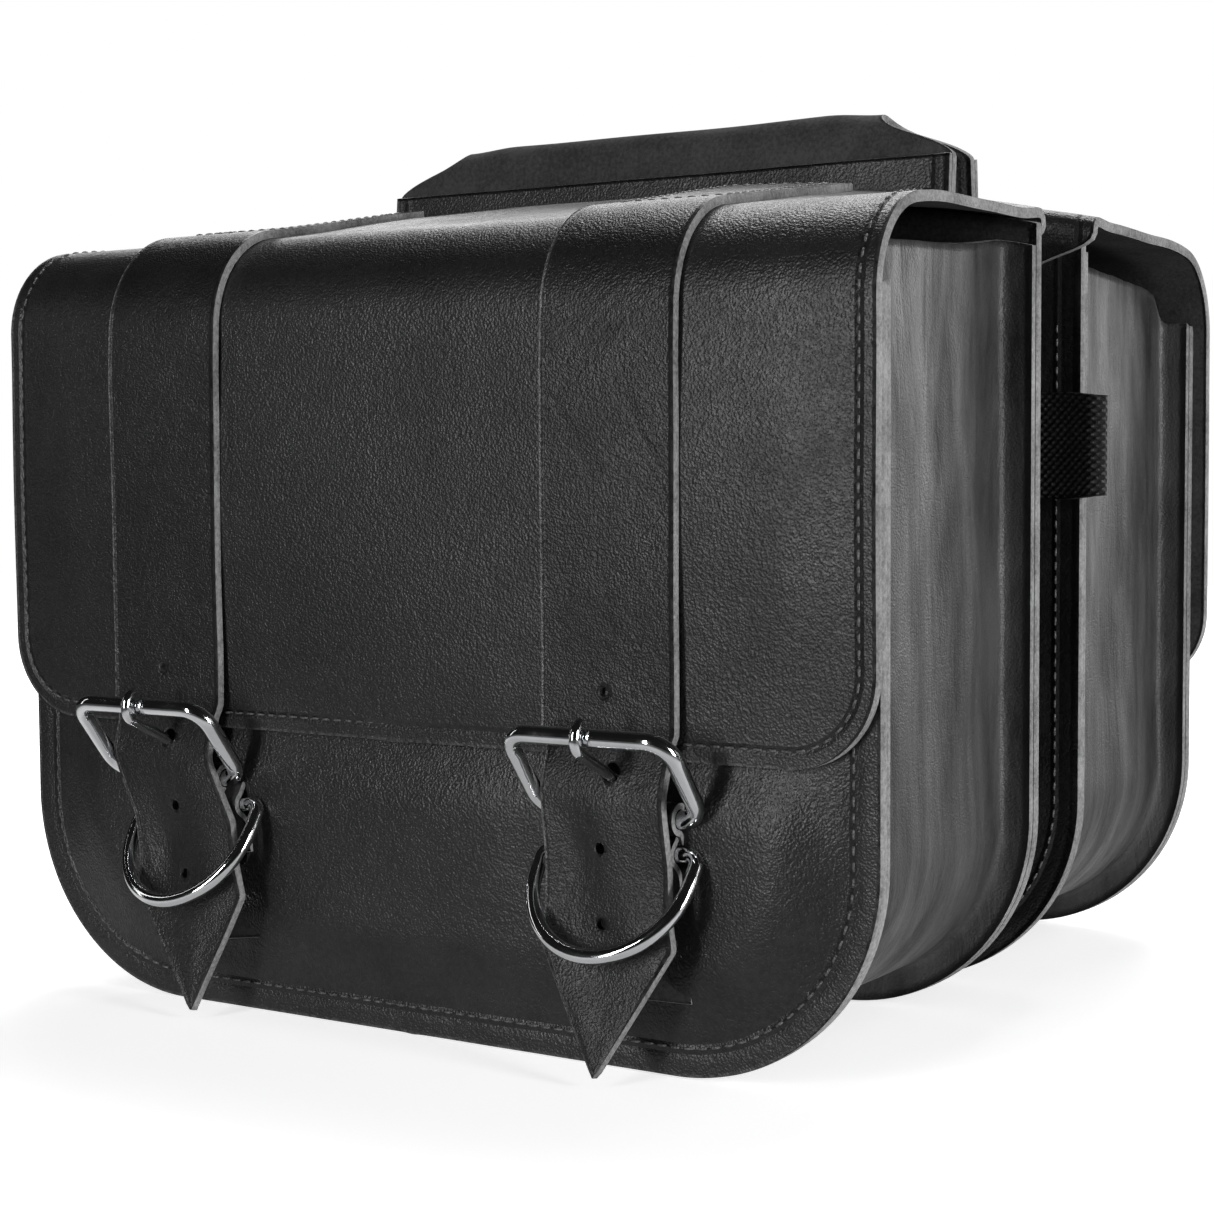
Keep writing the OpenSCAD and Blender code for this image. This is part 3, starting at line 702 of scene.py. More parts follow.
def make_gusset(side):
    """Gusset: a profile of seam edge, strip and seam edge carried round the panel's outline, with a second
    profile inside it for the wall."""
    p, n = outline_points(70)
    f, b = SEAM_FRONT_Y, SEAM_BACK_Y
    out, inn = (np.concatenate([
        front, np.stack([np.full(24, wall), np.linspace(f + 6.5, b - 6.5, 26)[1:-1]], 1),
        (front * (1, -1) + (0, f + b))[::-1]]) for wall, front in (
            (10.2, np.concatenate([[[0.2, f + 3.2], [3.5, f + 3.1], [7.2, f + 3.2]],
                                   arc((7.2, f + 6.4), 3.2, -60, 0, 4)])),
            (13.0, np.concatenate([[[0.2, f + 0.05], [4.5, f + 0.05], [9.5, f + 0.05]],
                                   arc((10, f + 3.2), 3.0, -75, 0, 4)]))))
    grids = [gusset_point(p[:, None], n[:, None], c[None, :, 0] + 0 * p[:, :1], c[None, :, 1] + 0 * p[:, :1])
             for c in (out, inn)]
    obj = shell(f"{side}_gusset", place(side, grids[0]), place(side, grids[1]), [HIDE_SOFT, FLESH, EDGE], puff=0.2)
    fit_piece(obj, "leather_gusset", f"{side}_bag",
              *[f"{side}_bag_{name}" for name in ("gusset", "front_seam", "back_seam")])


def lid_point(x, s, lift=0.0):
    """A point of the lid's middle surface, moved out by lift. s runs up the flap, over the crest, along the
    top, round the bend and down the front. The crest droops at its ends and the front swells and waves."""
    yz, n = LID_TRACK.at(s), LID_TRACK.side(s)
    y, z = yz[..., 0], yz[..., 1]
    on_top = np.where(s < LID_TURN, ease(z, 240, 289), crest_share(y))
    front = ease(z, 262, 225) * ease(y, -100, -140)
    edge = ease(LID_HALF - np.abs(x - LID_SHIFT), 2, 34)
    top = ease(y, -118, -60) * ease(y, -24, -45)
    swell = 1.3 * front * edge * np.sin(np.pi * np.clip((z - LID_LOW_Z) / 150, 0, 1))
    swell = swell + 0.55 * ripple(x, z + y, 12, 120) * front + 0.5 * ripple(x, y * 1.5, 8, 90) * top
    curl = 1.1 * front * ease(z, LID_LOW_Z + 22, LID_LOW_Z)
    out = lift + swell - curl * 0.3
    return np.stack([x + 0 * y, y - n[..., 0] * out, z - n[..., 1] * out + droop(x) * on_top], -1)


def lid_edge(x, s):
    """Distance from the lid's cut edge: its sides and its front edge with round corners."""
    z = LID_TRACK.length - s
    return edge_distance(x - LID_SHIFT, z, 0.0, LID_CORNER, LID_HALF)


def make_lid(side):
    """Lid: the flap down the back, the top and the front as one bent sheet, blended across its hinge."""
    end = LID_TRACK.length
    rows = end - level_rows(0, end, LID_CORNER, 18, 116)[::-1]
    s = rows[:, None]
    u = np.linspace(-1, 1, 150)[None, :]
    u = np.sign(u) * (1 - (1 - np.abs(u)) ** 1.12)
    flap = ease(LID_TRACK.at(s)[..., 1], BACK_TOP_Z - 2, BACK_TOP_Z - 26) * (s < LID_TURN)
    x = LID_SHIFT * (1 - flap) + u * (half_width(end - s, 0, 0, LID_CORNER, LID_HALF) - 26 * flap)
    s = s + 0 * x
    obj = shell(f"{side}_lid", place(side, lid_point(x, s, LID_T / 2)), place(side, lid_point(x, s, -LID_T / 2)),
                LEATHER_SET, lid_edge(x, s), s)
    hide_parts(f"{side}_bag_lid", f"{side}_bag_lid_flap")
    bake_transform(obj)


# ---- straps ----

HINGE_BAR = np.array([node_box("left_bag_left_prong")[1][1] - 5.25, 84.0])
RING_BAR = np.array([HINGE_BAR[0] + 0.5, 72.0])
FRAME_LEAN, FRAME_H, FRAME_HALF_W, FRAME_CORNER, FRAME_R = 38.0, 34.0, 30.0, 8.0, 3.0
RING_LEAN, RING_R, RING_WIRE = 36.0, 29.0, 2.5
frame_tilt = math.radians(FRAME_LEAN)
TOP_BAR = HINGE_BAR + FRAME_H * np.array([-math.sin(frame_tilt), math.cos(frame_tilt)])
TAIL_Y = HINGE_BAR[0] - 7.15
STRAP_T = 3.0
STRAP_HALF = 25.0                 # half the strap's full width
TIP_Z = 3.5
TAIL_FROM_Y = -140.0              # in front of this a strap is on its way down to its tail
PRONG_Z = HINGE_BAR[1] + 14

STRAP_TRACK = Track(rounded(np.concatenate([
    [[-30.0, BEND_C[1] + BEND_R * math.cos(math.radians(8)) + 12.6 + 3.35]],
    arc(BEND_C, BEND_R + 3.4, 98, 180, 16),
    [[LID_Y - 3.4, LID_LOW_Z + 6], [TAIL_Y + 0.8, HINGE_BAR[1] + 8], [TAIL_Y, HINGE_BAR[1] + 1],
     [TAIL_Y, 54.7], [TAIL_Y - 4.8, 32], [TAIL_Y - 11, TIP_Z]]]), 2))


def strap_drift(k, z):
    """How far the strap's middle has moved sideways at height z."""
    return TAIL_DRIFT[k] * np.interp(z, [TIP_Z, 46, 70, 92], [1, 0.64, 0.5, 0])


def strap_half(z):
    """Half the strap's width at height z: full on the lid, less between the wires, then a pointed tip."""
    neck = np.interp(z, [TIP_Z, 44, 54, 105, 110], [0.6, STRAP_HALF, 22.8, 22.8, STRAP_HALF])
    point = np.clip((z - TIP_Z) / 36.0, 0, 1) ** 0.92 * STRAP_HALF + 0.4
    return np.minimum(neck, np.where(z < 40, point, neck))


def strap_point(k, u, s, lift=0.0):
    """A point of a strap's middle surface: u is the share of its half width, s the length from its back end."""
    yz, n = STRAP_TRACK.at(s), STRAP_TRACK.side(s)
    y, z = yz[..., 0], yz[..., 1]
    front = ease(y, -140, -146)
    half = np.where(y < TAIL_FROM_Y, strap_half(z), STRAP_HALF)
    drift = np.where(y < TAIL_FROM_Y, strap_drift(k, z), 0)
    x = STRAP_MID[k] + drift + u * half
    over = np.where(y > BEND_C[0], crest_share(y), 0)
    tail = ease(z, 100, 84) * front
    dent = tail * (1.3 * hill(u, -0.45, 0.3) * hill(z, 72 if k else 60, 12)
                   - 1.0 * hill(u, 0.5, 0.4) * hill(z, 48, 14) + 0.5 * ripple(u * STRAP_HALF, z, 31 + k, 40))
    swell = 0.3 * ripple(u * STRAP_HALF, z + y, 17 + k, 70) * (1 - tail) * front
    sit = 1.25 * ease(z, 262, 225) * ease(y, -100, -140) * ease(z, LID_LOW_Z - 2, LID_LOW_Z + 60)
    out = lift - dent + swell + sit
    tip = tail * ease(z, 44, 6) * (1.5 if k else -0.5)
    return np.stack([x, y - n[..., 0] * out - tip, z - n[..., 1] * out + droop(x) * over * 0.92], -1)


HOLES = [PRONG_Z + 25, PRONG_Z - 24, PRONG_Z - 48]
HOLE_R, PRONG_HOLE_R = 1.9, 3.3


def punch(obj, cutters, material):
    """Cuts round holes: each cutter is a ring of points swept through the strap, taken away with a Boolean."""
    pins = [tube(np.linspace(a, b, 3), r, (1.0, 0.02, 0.01), False, 20) for a, b, r in cutters]
    cutter = joined(obj.name + "_punch", pins, material)
    cut = obj.modifiers.new("punch", "BOOLEAN")
    cut.object, cut.operation, cut.solver = cutter, "DIFFERENCE", "EXACT"
    bpy.context.view_layer.update()
    mesh = bpy.data.meshes.new_from_object(obj.evaluated_get(bpy.context.evaluated_depsgraph_get()))
    obj.modifiers.remove(cut)
    old, obj.data = obj.data, mesh
    bpy.data.meshes.remove(old)
    gone = cutter.data
    bpy.data.objects.remove(cutter)
    bpy.data.meshes.remove(gone)


def make_strap(side, k):
    """Buckle strap: a narrow sheet over the lid's top and front, past the buckle and the ring, to a point."""
    end = STRAP_TRACK.length
    s, u = crossed(np.concatenate([np.linspace(0, end - 50, 150), np.linspace(end - 50, end, 34)[1:]]), 25)
    name = f"{side}_{SIDES[k]}_strap"
    outer, inner = (strap_point(k, u, s, d) for d in (STRAP_T / 2, -STRAP_T / 2))
    y, z = np.moveaxis(STRAP_TRACK.at(s), -1, 0)
    half = np.where(y < TAIL_FROM_Y, strap_half(z), STRAP_HALF)
    obj = shell(name, place(side, outer), place(side, inner), [HIDE_STRAP, FLESH, EDGE], (1 - np.abs(u)) * half, s)
    cutters = []
    for z in HOLES:
        x = STRAP_MID[k] + strap_drift(k, z) - 1.5
        y = float(STRAP_TRACK.at(STRAP_TRACK.s_near(1, z))[0])
        deep = 3.0 if z < LID_LOW_Z else 1.0
        cutters.append((place(side, np.array([x, y + deep, z])), place(side, np.array([x, y - 5, z])), HOLE_R))
    y = float(STRAP_TRACK.at(STRAP_TRACK.s_near(1, PRONG_Z))[0])
    cutters.append((place(side, np.array([BUCKLE_X[k], y + 5, PRONG_Z - 1.2])),
                    place(side, np.array([BUCKLE_X[k], y - 5, PRONG_Z + 0.8])), PRONG_HOLE_R))
    # The hole walls take the darker cut edge: painted shade inside the holes.
    punch(obj, cutters, HOLE_WALL_SHADE)
    fit_piece(obj, "leather_strap", f"{side}_lid", f"{side}_bag_{SIDES[k]}_strap")


CHAPE_T = 2.0
TAB_HALF, KEEPER_HALF = 23.0, 21.5
LOBE_IN, LOBE_OUT = 3.6, 22.0     # the lobes' edges, from the prong's middle


def ribbon_sheet(name, side, path, x0, x1, turn=0.0, about=(0.0, 0.0)):
    """A chape's sheet: a path in Y and Z, carried from x0 to x1, then turned a little in X and Z."""
    track = Track(rounded(path, 2))
    s = np.linspace(0, track.length, max(int(track.length / 1.2), 12))[:, None]
    x = np.linspace(x0, x1, max(int((x1 - x0) / 2.5), 4))[None, :]
    grids = []
    for d in (CHAPE_T / 2, -CHAPE_T / 2):
        yz, n = track.at(s + 0 * x), track.side(s + 0 * x)
        g = np.stack([x + 0 * s, yz[..., 0] - n[..., 0] * d, yz[..., 1] - n[..., 1] * d], -1)
        if turn:
            c, sn = math.cos(math.radians(turn)), math.sin(math.radians(turn))
            gx, gz = g[..., 0] - about[0], g[..., 2] - about[1]
            g = np.stack([about[0] + c * gx - sn * gz, g[..., 1], about[1] + sn * gx + c * gz], -1)
        grids.append(place(side, g))
    return shell(name, grids[0], grids[1], [HIDE_STRAP, FLESH, EDGE])


def make_chape(side, k):
    """Chape: a tab that rises behind the ring, wraps round its bar in front, and ends in two lobes that wrap the
    buckle's hinge bar, one at each side of the prong."""
    base_y = FACE_Y - 0.5
    name = f"{side}_{SIDES[k]}_chape"
    tab = [[base_y - 1, 24], [base_y - 1, 60], [base_y - 1, 78.5]]
    ring = np.concatenate([[[base_y - 3.1, 55], [base_y - 3.1, 65]], arc(RING_BAR, 3.8, 250, 110, 12),
                           [[base_y - 3.1, 79.5]]])
    lobe = np.concatenate([[[base_y - 1.2, 70]], arc(HINGE_BAR, 4.3, 0, 270, 22),
                           [[HINGE_BAR[0] + 1.5, 78.6], [base_y - 3.0, 76]]])
    turned = (RING_TURN[k], (RING_X[k], RING_BAR[1]))
    parts = [ribbon_sheet(name, side, tab, RING_X[k] - TAB_HALF, RING_X[k] + TAB_HALF, *turned),
             ribbon_sheet(name + "_keeper", side, ring, RING_X[k] - KEEPER_HALF, RING_X[k] + KEEPER_HALF, *turned),
             ribbon_sheet(name + "_lobe_a", side, lobe, BUCKLE_X[k] - LOBE_OUT, BUCKLE_X[k] - LOBE_IN),
             ribbon_sheet(name + "_lobe_b", side, lobe, BUCKLE_X[k] + LOBE_IN, BUCKLE_X[k] + LOBE_OUT)]
    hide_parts(f"{side}_bag_{SIDES[k]}_chape")
    for part in parts:
        fit_piece(part, "leather_strap", f"{side}_lid")


# ---- buckles and rings ----

def leaned(path, origin, lean):
    """A flat path (across, along) stood up from origin, leaning out by lean degrees from upright."""
    a = math.radians(lean)
    return np.stack([path[:, 0] + origin[0], origin[1] - path[:, 1] * math.sin(a),
                     origin[2] + path[:, 1] * math.cos(a)], 1)


def rounded_frame(half, height, corner):
    """A rectangle with round corners, from its lower left, closed."""
    h, c = half, corner
    bar, leg = np.linspace(c - h, h - c, 22)[1:-1], np.linspace(c, height - c, 10)[1:-1]
    return np.concatenate([
        arc((c - h, c), c, 180, 270, 12), np.stack([bar, np.zeros(20)], 1),
        arc((h - c, c), c, 270, 360, 12), np.stack([np.full(8, h), leg], 1),
        arc((h - c, height - c), c, 0, 90, 12), np.stack([bar[::-1], np.full(20, height)], 1),
        arc((c - h, height - c), c, 90, 180, 12), np.stack([np.full(8, -h), leg[::-1]], 1)])


def fit_hardware(side, k, kind, wires):
    """A buckle, prong or ring: its wires as one plated piece, on its own body."""
    node = f"{side}_bag_{SIDES[k]}_{kind}"
    fit_piece(joined(f"{side}_{SIDES[k]}_{kind}", wires, CHROME), "chrome", node, node)


def make_buckle(side, k):
    """Buckle frame: round wire bent into a rounded rectangle that leans out from its hinge bar."""
    path = leaned(rounded_frame(FRAME_HALF_W, FRAME_H, FRAME_CORNER), (BUCKLE_X[k], *HINGE_BAR), FRAME_LEAN)
    across = place(side, np.array([0.0, math.cos(frame_tilt), math.sin(frame_tilt)]))
    fit_hardware(side, k, "buckle", [tube(place(side, path), FRAME_R, across, True, 24)])


def make_prong(side, k):
    """Prong: a wire eye round the hinge bar and a shank that comes through the strap and hooks over the top bar."""
    route = rounded(np.concatenate([[HINGE_BAR + (3.6, 1.5), HINGE_BAR + (1.2, 6.5), HINGE_BAR + (-2.0, 11.5)],
                                    arc(TOP_BAR, 5.7, 235, 112, 9)]), 2)
    shank = np.stack([np.full(len(route), BUCKLE_X[k]), route[:, 0], route[:, 1]], 1)
    eye = arc(HINGE_BAR, 5.0, 0, 360, 33)[:-1]
    eye = np.stack([np.full(len(eye), BUCKLE_X[k]), eye[:, 0], eye[:, 1]], 1)
    taper = np.interp(np.linspace(0, 1, len(route)), [0, 0.75, 1], [1.9, 1.9, 1.5])
    x = np.array([1.0, 0, 0])
    fit_hardware(side, k, "prong", [tube(place(side, shank), taper, x, False, 16),
                                    tube(place(side, eye), 1.75, x, True, 14)])


def make_ring(side, k):
    """D-ring: a straight bar, two short legs and a half circle of round wire, leaning out over the strap."""
    c, leg, r = 4.0, 8.0, RING_R
    bar, down = np.linspace(c - r, r - c, 24)[1:-1], np.linspace(-c, -leg, 6)[1:-1]
    flat = np.concatenate([
        np.stack([bar, np.zeros(22)], 1), arc((r - c, -c), c, 90, 0, 8), np.stack([np.full(4, r), down], 1),
        arc((0, -leg), r, 0, -180, 48), np.stack([np.full(4, -r), down[::-1]], 1), arc((c - r, -c), c, 180, 90, 8)])
    a, t = math.radians(RING_LEAN), math.radians(RING_TURN[k])
    x, out, z = flat[:, 0], -flat[:, 1] * math.sin(a), flat[:, 1] * math.cos(a)
    path = np.stack([RING_X[k] + x * math.cos(t) - z * math.sin(t), RING_BAR[0] - out,
                     RING_BAR[1] + x * math.sin(t) + z * math.cos(t)], 1)
    across = place(side, np.array([0.02, math.cos(a), -math.sin(a)]))
    fit_hardware(side, k, "ring", [tube(place(side, path), RING_WIRE, across, True, 22)])


def make_tie_loop(side):
    """Tie-down loop: webbing folded round, with its two ends in the back seam and its lower edge cut on a slant."""
    t = 1.7
    y0 = loop_lo[1] + t / 2
    top = loop_hi[1] - t / 2
    r = (top - y0) / 2
    x_turn = loop_lo[0] + t / 2 + r
    path = np.concatenate([[[loop_hi[0], y0]], arc((x_turn, y0 + r), r, 270, 90, 14),
                           [[x_turn + 16, y0 + t + 0.2], [loop_hi[0], y0 + t + 0.1]]])
    track = Track(rounded(path, 2))
    s = np.linspace(0, track.length, 70)[:, None]
    v = np.linspace(0, 1, 20)[None, :]
    grids = []
    for d in (t / 2, -t / 2):
        xy, n = track.at(s + 0 * v), track.side(s + 0 * v)
        out = ease(xy[..., 0], loop_lo[0] + 16, loop_lo[0])
        z = loop_lo[2] + v * (loop_hi[2] - loop_lo[2]) + 3.5 * out * (0.5 - v) * 0.8
        g = np.stack([xy[..., 0] - n[..., 0] * d, xy[..., 1] - n[..., 1] * d, z + 0 * s], -1)
        grids.append(place(side, g))
    obj = shell(f"{side}_tie_loop", grids[0], grids[1], [WEBBING, WEBBING, WEBBING],
                s + 0 * v, (v + 0 * s) * 38.0)
    fit_piece(obj, "webbing", f"{side}_bag", f"{side}_bag_tie_loop")


# ---- yoke ----

YOKE_T = 3.0
FOLD_R = 7.0                      # bend at the crest
CREST_HALF_W = 91.5
FOLD_Z = CREST_Z - YOKE_T / 2 - FOLD_R
foot_reach = math.hypot(FOOT[0], FOLD_Z - FOOT[1])
yoke_tilt = math.degrees(math.atan2(-FOOT[0], FOLD_Z - FOOT[1]) - math.asin(FOLD_R / foot_reach))
half_yoke = np.concatenate([[FOOT], arc((0, FOLD_Z), FOLD_R, 180 - yoke_tilt, 90, 10)])
YOKE_TRACK = Track(np.concatenate([half_yoke, (half_yoke[:-1] * np.array([-1, 1]))[::-1]]))


def yoke_half_width(z):
    """Half the yoke's width at height z: full up to its shoulders, then in to the crest's width."""
    return YOKE_HALF_W - (YOKE_HALF_W - CREST_HALF_W) * ease(z, CREST_Z - 19, CREST_Z - 0.5) ** 0.9


def yoke_point(u, s, lift=0.0):
    """A point of the yoke: a sheet from one foot over the crest to the other foot, a little wavy between."""
    yz, n = YOKE_TRACK.at(s), YOKE_TRACK.side(s)
    y, z = yz[..., 0], yz[..., 1]
    x = YOKE_X + u * yoke_half_width(z)
    wave = 0.5 * ripple(x, s, 41, 110) * ease(z, FOOT[1] + 4, FOOT[1] + 30)
    out = lift + wave
    sink = 1.6 * ease(np.abs(u), 0.75, 1.0) * ease(z, CREST_Z - 14, CREST_Z)
    return np.stack([x, y - n[..., 0] * out, z - n[..., 1] * out - sink], -1)


def make_yoke():
    """Yoke: one sheet over both halves, bent between them across the crest."""
    end = YOKE_TRACK.length
    low, high = end / 2 - 26, end / 2 + 26
    s = np.concatenate([np.linspace(0, low, 34)[:-1], np.linspace(low, high, 48), np.linspace(high, end, 34)[1:]])
    s, u = crossed(s, 110)
    outer, inner = (yoke_point(u, s, d) for d in (YOKE_T / 2, -YOKE_T / 2))
    z = YOKE_TRACK.at(s)[..., 1]
    obj = shell("yoke", outer, inner, [YOKE_HIDE_PAINTED_LIGHT, FLESH, EDGE], (1 - np.abs(u)) * yoke_half_width(z), s)
    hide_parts("left_bag_yoke_half", "right_bag_yoke_half")
    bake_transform(obj)


def make_yoke_facing(side):
    """Yoke facing: the inner layer, from near the foot to just under the crest."""
    s, u = crossed(np.linspace(20, 82, 40), 90)
    parted = 0.6 * ease(np.abs(u), 0.93, 1.0) * ease(s, 50, 80)
    outer, inner = (yoke_point(u, s, -YOKE_T / 2 - d - parted) for d in (0.05, 2.0))
    obj = shell(f"{side}_yoke_facing", place_yoke(side, outer), place_yoke(side, inner), [FLESH, HIDE, EDGE],
                (1 - np.abs(u)) * YOKE_HALF_W, s)
    fit_piece(obj, "leather_strap", f"{side}_yoke", f"{side}_bag_yoke_facing")


def make_anchor(side):
    """Yoke anchor: a sewn patch with round corners on the back panel."""
    lo, hi = anchor_lo, anchor_hi
    v = np.linspace(0, 1, 32)[:, None]
    z = lo[2] + v * (hi[2] - lo[2])
    u = np.linspace(-1, 1, 100)[None, :]
    half, mid = (hi[0] - lo[0]) / 2, (hi[0] + lo[0]) / 2
    x = mid + u * half_width(z, 0, lo[2], 12.0, half)
    z = z + 0 * x
    d = np.minimum(edge_distance(x - mid, z, lo[2], 12.0, half), hi[2] - z)
    y = hi[1] - 0.5 * hill(d, 5, 1.8) + 0 * x
    outer = np.stack([x, y, z], -1)
    inner = np.stack([x, np.full(x.shape, lo[1] + 0.3), z], -1)
    obj = shell(f"{side}_yoke_anchor", place_yoke(side, outer), place_yoke(side, inner), LEATHER_SET, d, x)
    fit_piece(obj, "leather_black", f"{side}_bag", f"{side}_bag_yoke_anchor")


# ---- stitching ----

def outline_row(surface, inset, top, low=0.0, radius=CORNER_R, half=HALF_W, shift=0.0):
    """A U-shaped row on a surface(x, z), inside the outline by inset, from one top end to the other."""
    r, w = radius - inset, half - inset
    left = np.stack([np.full(60, -w), np.linspace(top, low + radius, 60)], 1)
    path = np.concatenate([left, arc((r - w, low + inset + r), r, 180, 270, 24)[1:],
                           arc((w - r, low + inset + r), r, 270, 360, 24), left[::-1][1:] * (-1, 1)])
    return on_surface(surface, path[:, 0] + shift, path[:, 1])


def sew(side):
    """All the stitch rows of one bag: front panel, back panel, lid, straps, anchor and yoke."""
    row = lambda p, n, **sizes: stitch_row(place(side, p), place(side, n), **sizes)
    p, n = outline_row(front_face, SEAM_IN, MOUTH_Z - 3)
    rows = [row(p, n * np.sign(-n[:, 1:2]), sink=0.1)]
    p, n = outline_row(back_face, SEAM_IN, BACK_TOP_Z - 40)
    rows.append(row(p, n * np.sign(n[:, 1:2]), sink=0.1))
    stitches(f"{side}_bag_stitches", rows, f"{side}_bag")
    end = LID_TRACK.length
    start = LID_TURN + 14
    lid_surface = lambda x, s: lid_point(x, s, LID_T / 2)
    p, n = outline_row(lambda x, z: lid_surface(x, end - z), 5.6, end - start, 0.0, LID_CORNER, LID_HALF, LID_SHIFT)
    n = n * np.sign(-n[len(n) // 2, 1])
    rows = [row(p, n, sink=0.1)]
    for k in (0, 1):
        surface = lambda u, s: strap_point(k, u, s, STRAP_T / 2)
        s_bend = STRAP_TRACK.s_near(0, -113.0)
        u, s = np.linspace(-0.82, 0.82, 12), np.linspace(8, s_bend, 30)
        for a, b in ((u, 0 * u + s_bend), (u, 0 * u + 8.0), (0 * s - 0.82, s), (0 * s + 0.82, s)):
            p, n = on_surface(surface, a, b, 0.02)
            rows.append(row(p, n * np.sign(n[:, 2:3])))
    stitches(f"{side}_lid_stitches", rows, f"{side}_lid")
    surface = lambda u, s: yoke_point(u, s, YOKE_T / 2)
    u = np.linspace(-0.985, 0.985, 90)
    n = np.stack([0 * u, 0 * u - 1.0, 0 * u + 0.1], 1)
    rows = [stitch_row(place_yoke(side, surface(u, 0 * u + s)), place(side, n)) for s in (76.0, 79.6, 24.0)]
    stitches(f"{side}_yoke_stitches", rows, f"{side}_yoke")


def make_rivets(side):
    """Yoke rivets: domed heads turned from a profile, on the inner side of the yoke."""
    head_r, head_h, along = 4.5, 2.2, 66.0
    a = np.linspace(0, np.pi / 2, 7)
    yz, n = YOKE_TRACK.at(along), YOKE_TRACK.side(along)
    rise = np.outer(np.concatenate([[-0.5], head_h * np.sin(a)]), (0, *n))
    radii = np.concatenate([[head_r], head_r * np.cos(a) + 0.02])
    heads = []
    for share in (-1, -0.5, 0.5, 1):
        base = np.array([YOKE_X + share * (YOKE_HALF_W - 9), *(yz + n * (YOKE_T / 2 + 2.0))])
        heads.append(tube(place_yoke(side, base + rise), radii, (1.0, 0, 0), False, 20))
    obj = joined(f"{side}_yoke_rivets", heads, CHROME)
    fit_piece(obj, "chrome", f"{side}_yoke", f"{side}_bag_yoke_rivets")


for side in SIDES:
    make_panel(side, "front_panel", front_face, MOUTH_Z, (44, 64), 150, 1.15, SEAM_FRONT_Y - 0.1)
    make_panel(side, "back_panel", back_face, BACK_TOP_Z, (40, 60), 110, 1.0, SEAM_BACK_Y + 0.1)
    make_gusset(side)
    make_lid(side)
    for k in (0, 1):
        make_strap(side, k)
        make_chape(side, k)
        make_buckle(side, k)
        make_prong(side, k)
        make_ring(side, k)
    make_tie_loop(side)
    make_yoke_facing(side)
    make_anchor(side)
    make_rivets(side)
    sew(side)
make_yoke()

for side in SIDES:
    for name, material in (("front_board", BOARD_PAINTED_SHADE), ("back_board", BOARD_PAINTED_SHADE), ("base_board", BOARD_PAINTED_SHADE),
                           ("snap_studs", CHROME), ("snap_caps", CHROME), ("chape_rivets", CHROME)):
        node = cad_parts[f"{side}_bag_{name}"]
        node.data.materials.clear()
        node.data.materials.append(material)


# ---- floor, light and camera ----

def make_floor():
    """A plain pale floor, very faintly uneven, that fades to white away from the bags. Leather and plating see it
    as a small grey table in a dark room, so that they keep their blacks; at the bags' feet it also glows for them,
    painted light on their lower fronts."""
    n, reach, level = 9, 2600, -0.6
    x, y = np.meshgrid(*[np.linspace(-reach, reach, n)] * 2, indexing="ij")
    points = np.stack([x, y, np.full(x.shape, level)], -1).reshape(-1, 3)
    material, w, shader, where = new_material("pale floor", Specular_IOR_Level=0.1, Roughness=0.8,
                                              Emission_Strength=1.0)
    seen = w.node("ShaderNodeLightPath").outputs["Is Camera Ray"]
    away = w.node("ShaderNodeVectorMath", {0: where}, operation="LENGTH").outputs["Value"]
    pale = w.ramp(w.noise(where, 3.0, 3.0), 0.3, grey(0.86, 0), 0.7, grey(0.90, 0))
    table = w.ramp(away, 0.40, grey(0.55, 0), 0.55, grey(0.07, 0))
    unseen = w.math("SUBTRACT", 1.0, seen)
    # Emission: to the camera the floor glows evenly white; to all other rays it glows only near the bags, painted
    # light on their lower fronts and hardware.
    white_and_painted_glow = w.plus(w.times(w.span(away, 0.25, 0.8, 0.66, 1.0), seen),
                  w.times(w.span(away, 0.28, 0.44, 0.26, 0.0), unseen))
    w.tree.links.new(w.mix(seen, table, pale), shader.inputs["Base Color"])
    w.tree.links.new(white_and_painted_glow, shader.inputs["Emission Color"])
    floor = make_object("floor", points, grid_faces(n, n), np.zeros((n - 1) ** 2), [material])


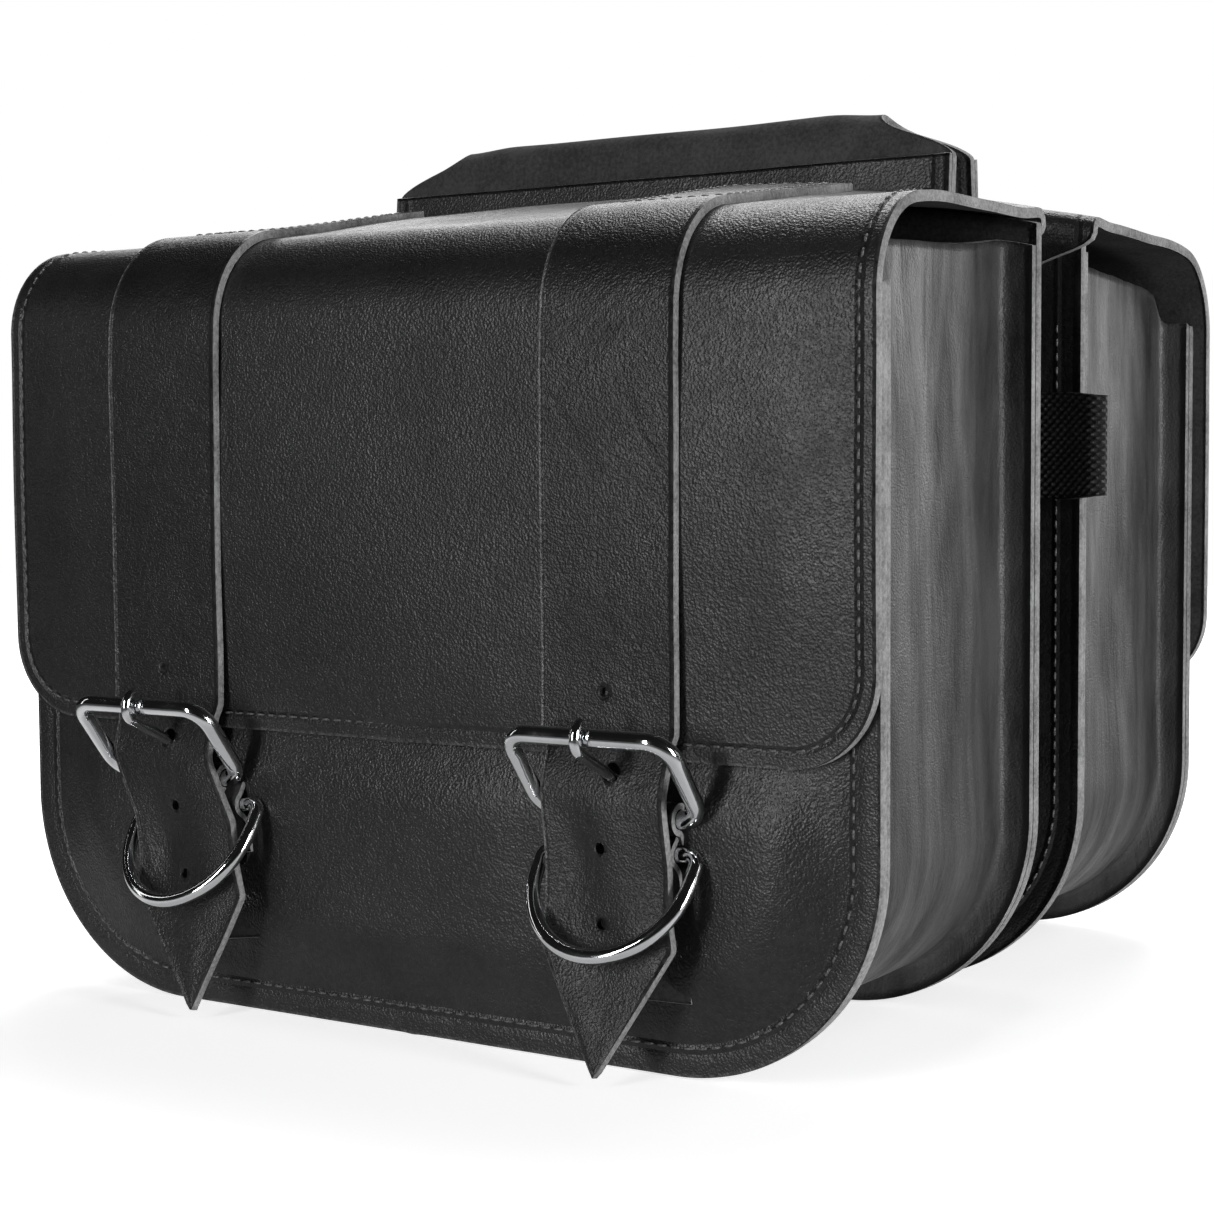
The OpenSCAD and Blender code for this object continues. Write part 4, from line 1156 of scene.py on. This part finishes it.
def soft_box(name, place_at, aim, width, height, power):
    """A soft rectangular light at place_at, looking at aim."""
    light = bpy.data.lights.new(name, "AREA")
    light.shape, light.size, light.size_y, light.energy = "RECTANGLE", width, height, power
    obj = bpy.data.objects.new(name, light)
    obj.location = place_at
    look = np.array(aim, float) - np.array(place_at, float)
    obj.rotation_euler = Vector(look).to_track_quat("-Z", "Y").to_euler()
    bpy.context.scene.collection.objects.link(obj)


YAW, DOWN, ROLL = 32.253, 3.752, -0.399     # the camera's turn, its look down and its tilt, in degrees

make_floor()
soft_box("top light", (-0.30, 1.00, 2.00), (0.0, 0.1, 0.2), 1.5, 1.1, 34)
soft_box("back light", (-0.90, 1.65, 1.05), (0.0, 0.0, 0.28), 2.0, 0.5, 10)
soft_box("right light", (1.00, 1.85, 0.50), (0.15, 0.0, 0.15), 1.1, 0.8, 12)
soft_box("edge light", (1.55, -0.38, 0.35), (0.15, -0.1, 0.15), 0.4, 0.8, 17)
soft_box("front light", (-0.32, -1.60, 0.42), (0.14, -0.1, 0.15), 0.22, 0.9, 11)
soft_box("left strip", (-1.30, -0.70, 0.45), (0.0, -0.15, 0.12), 0.08, 1.0, 0.5)

world = bpy.data.worlds.new("studio")
bpy.context.scene.world = world
world.use_nodes = True
studio = Wiring(world.node_tree)
background = next(n for n in world.node_tree.nodes if n.type == "BACKGROUND")
seen = studio.node("ShaderNodeLightPath").outputs["Is Camera Ray"]
room = studio.mix(seen, (*grey(0.008, 0), 1), (*grey(1.0, 0), 1))
world.node_tree.links.new(room, background.inputs["Color"])

camera_data = bpy.data.cameras.new("camera")
camera_data.lens, camera_data.sensor_width = 67.08, 36.0
camera = bpy.data.objects.new("camera", camera_data)
bpy.context.scene.collection.objects.link(camera)
camera.location = (0.4683, -0.7606, 0.1974)
camera.rotation_mode = "XYZ"
camera.rotation_euler = (math.radians(90 - DOWN), 0, math.radians(YAW))
roll = Matrix.Rotation(math.radians(ROLL), 3, "Z")
camera.rotation_euler = (camera.rotation_euler.to_matrix() @ roll).to_euler()
bpy.context.scene.camera = camera
bpy.context.scene.view_settings.view_transform = "Standard"
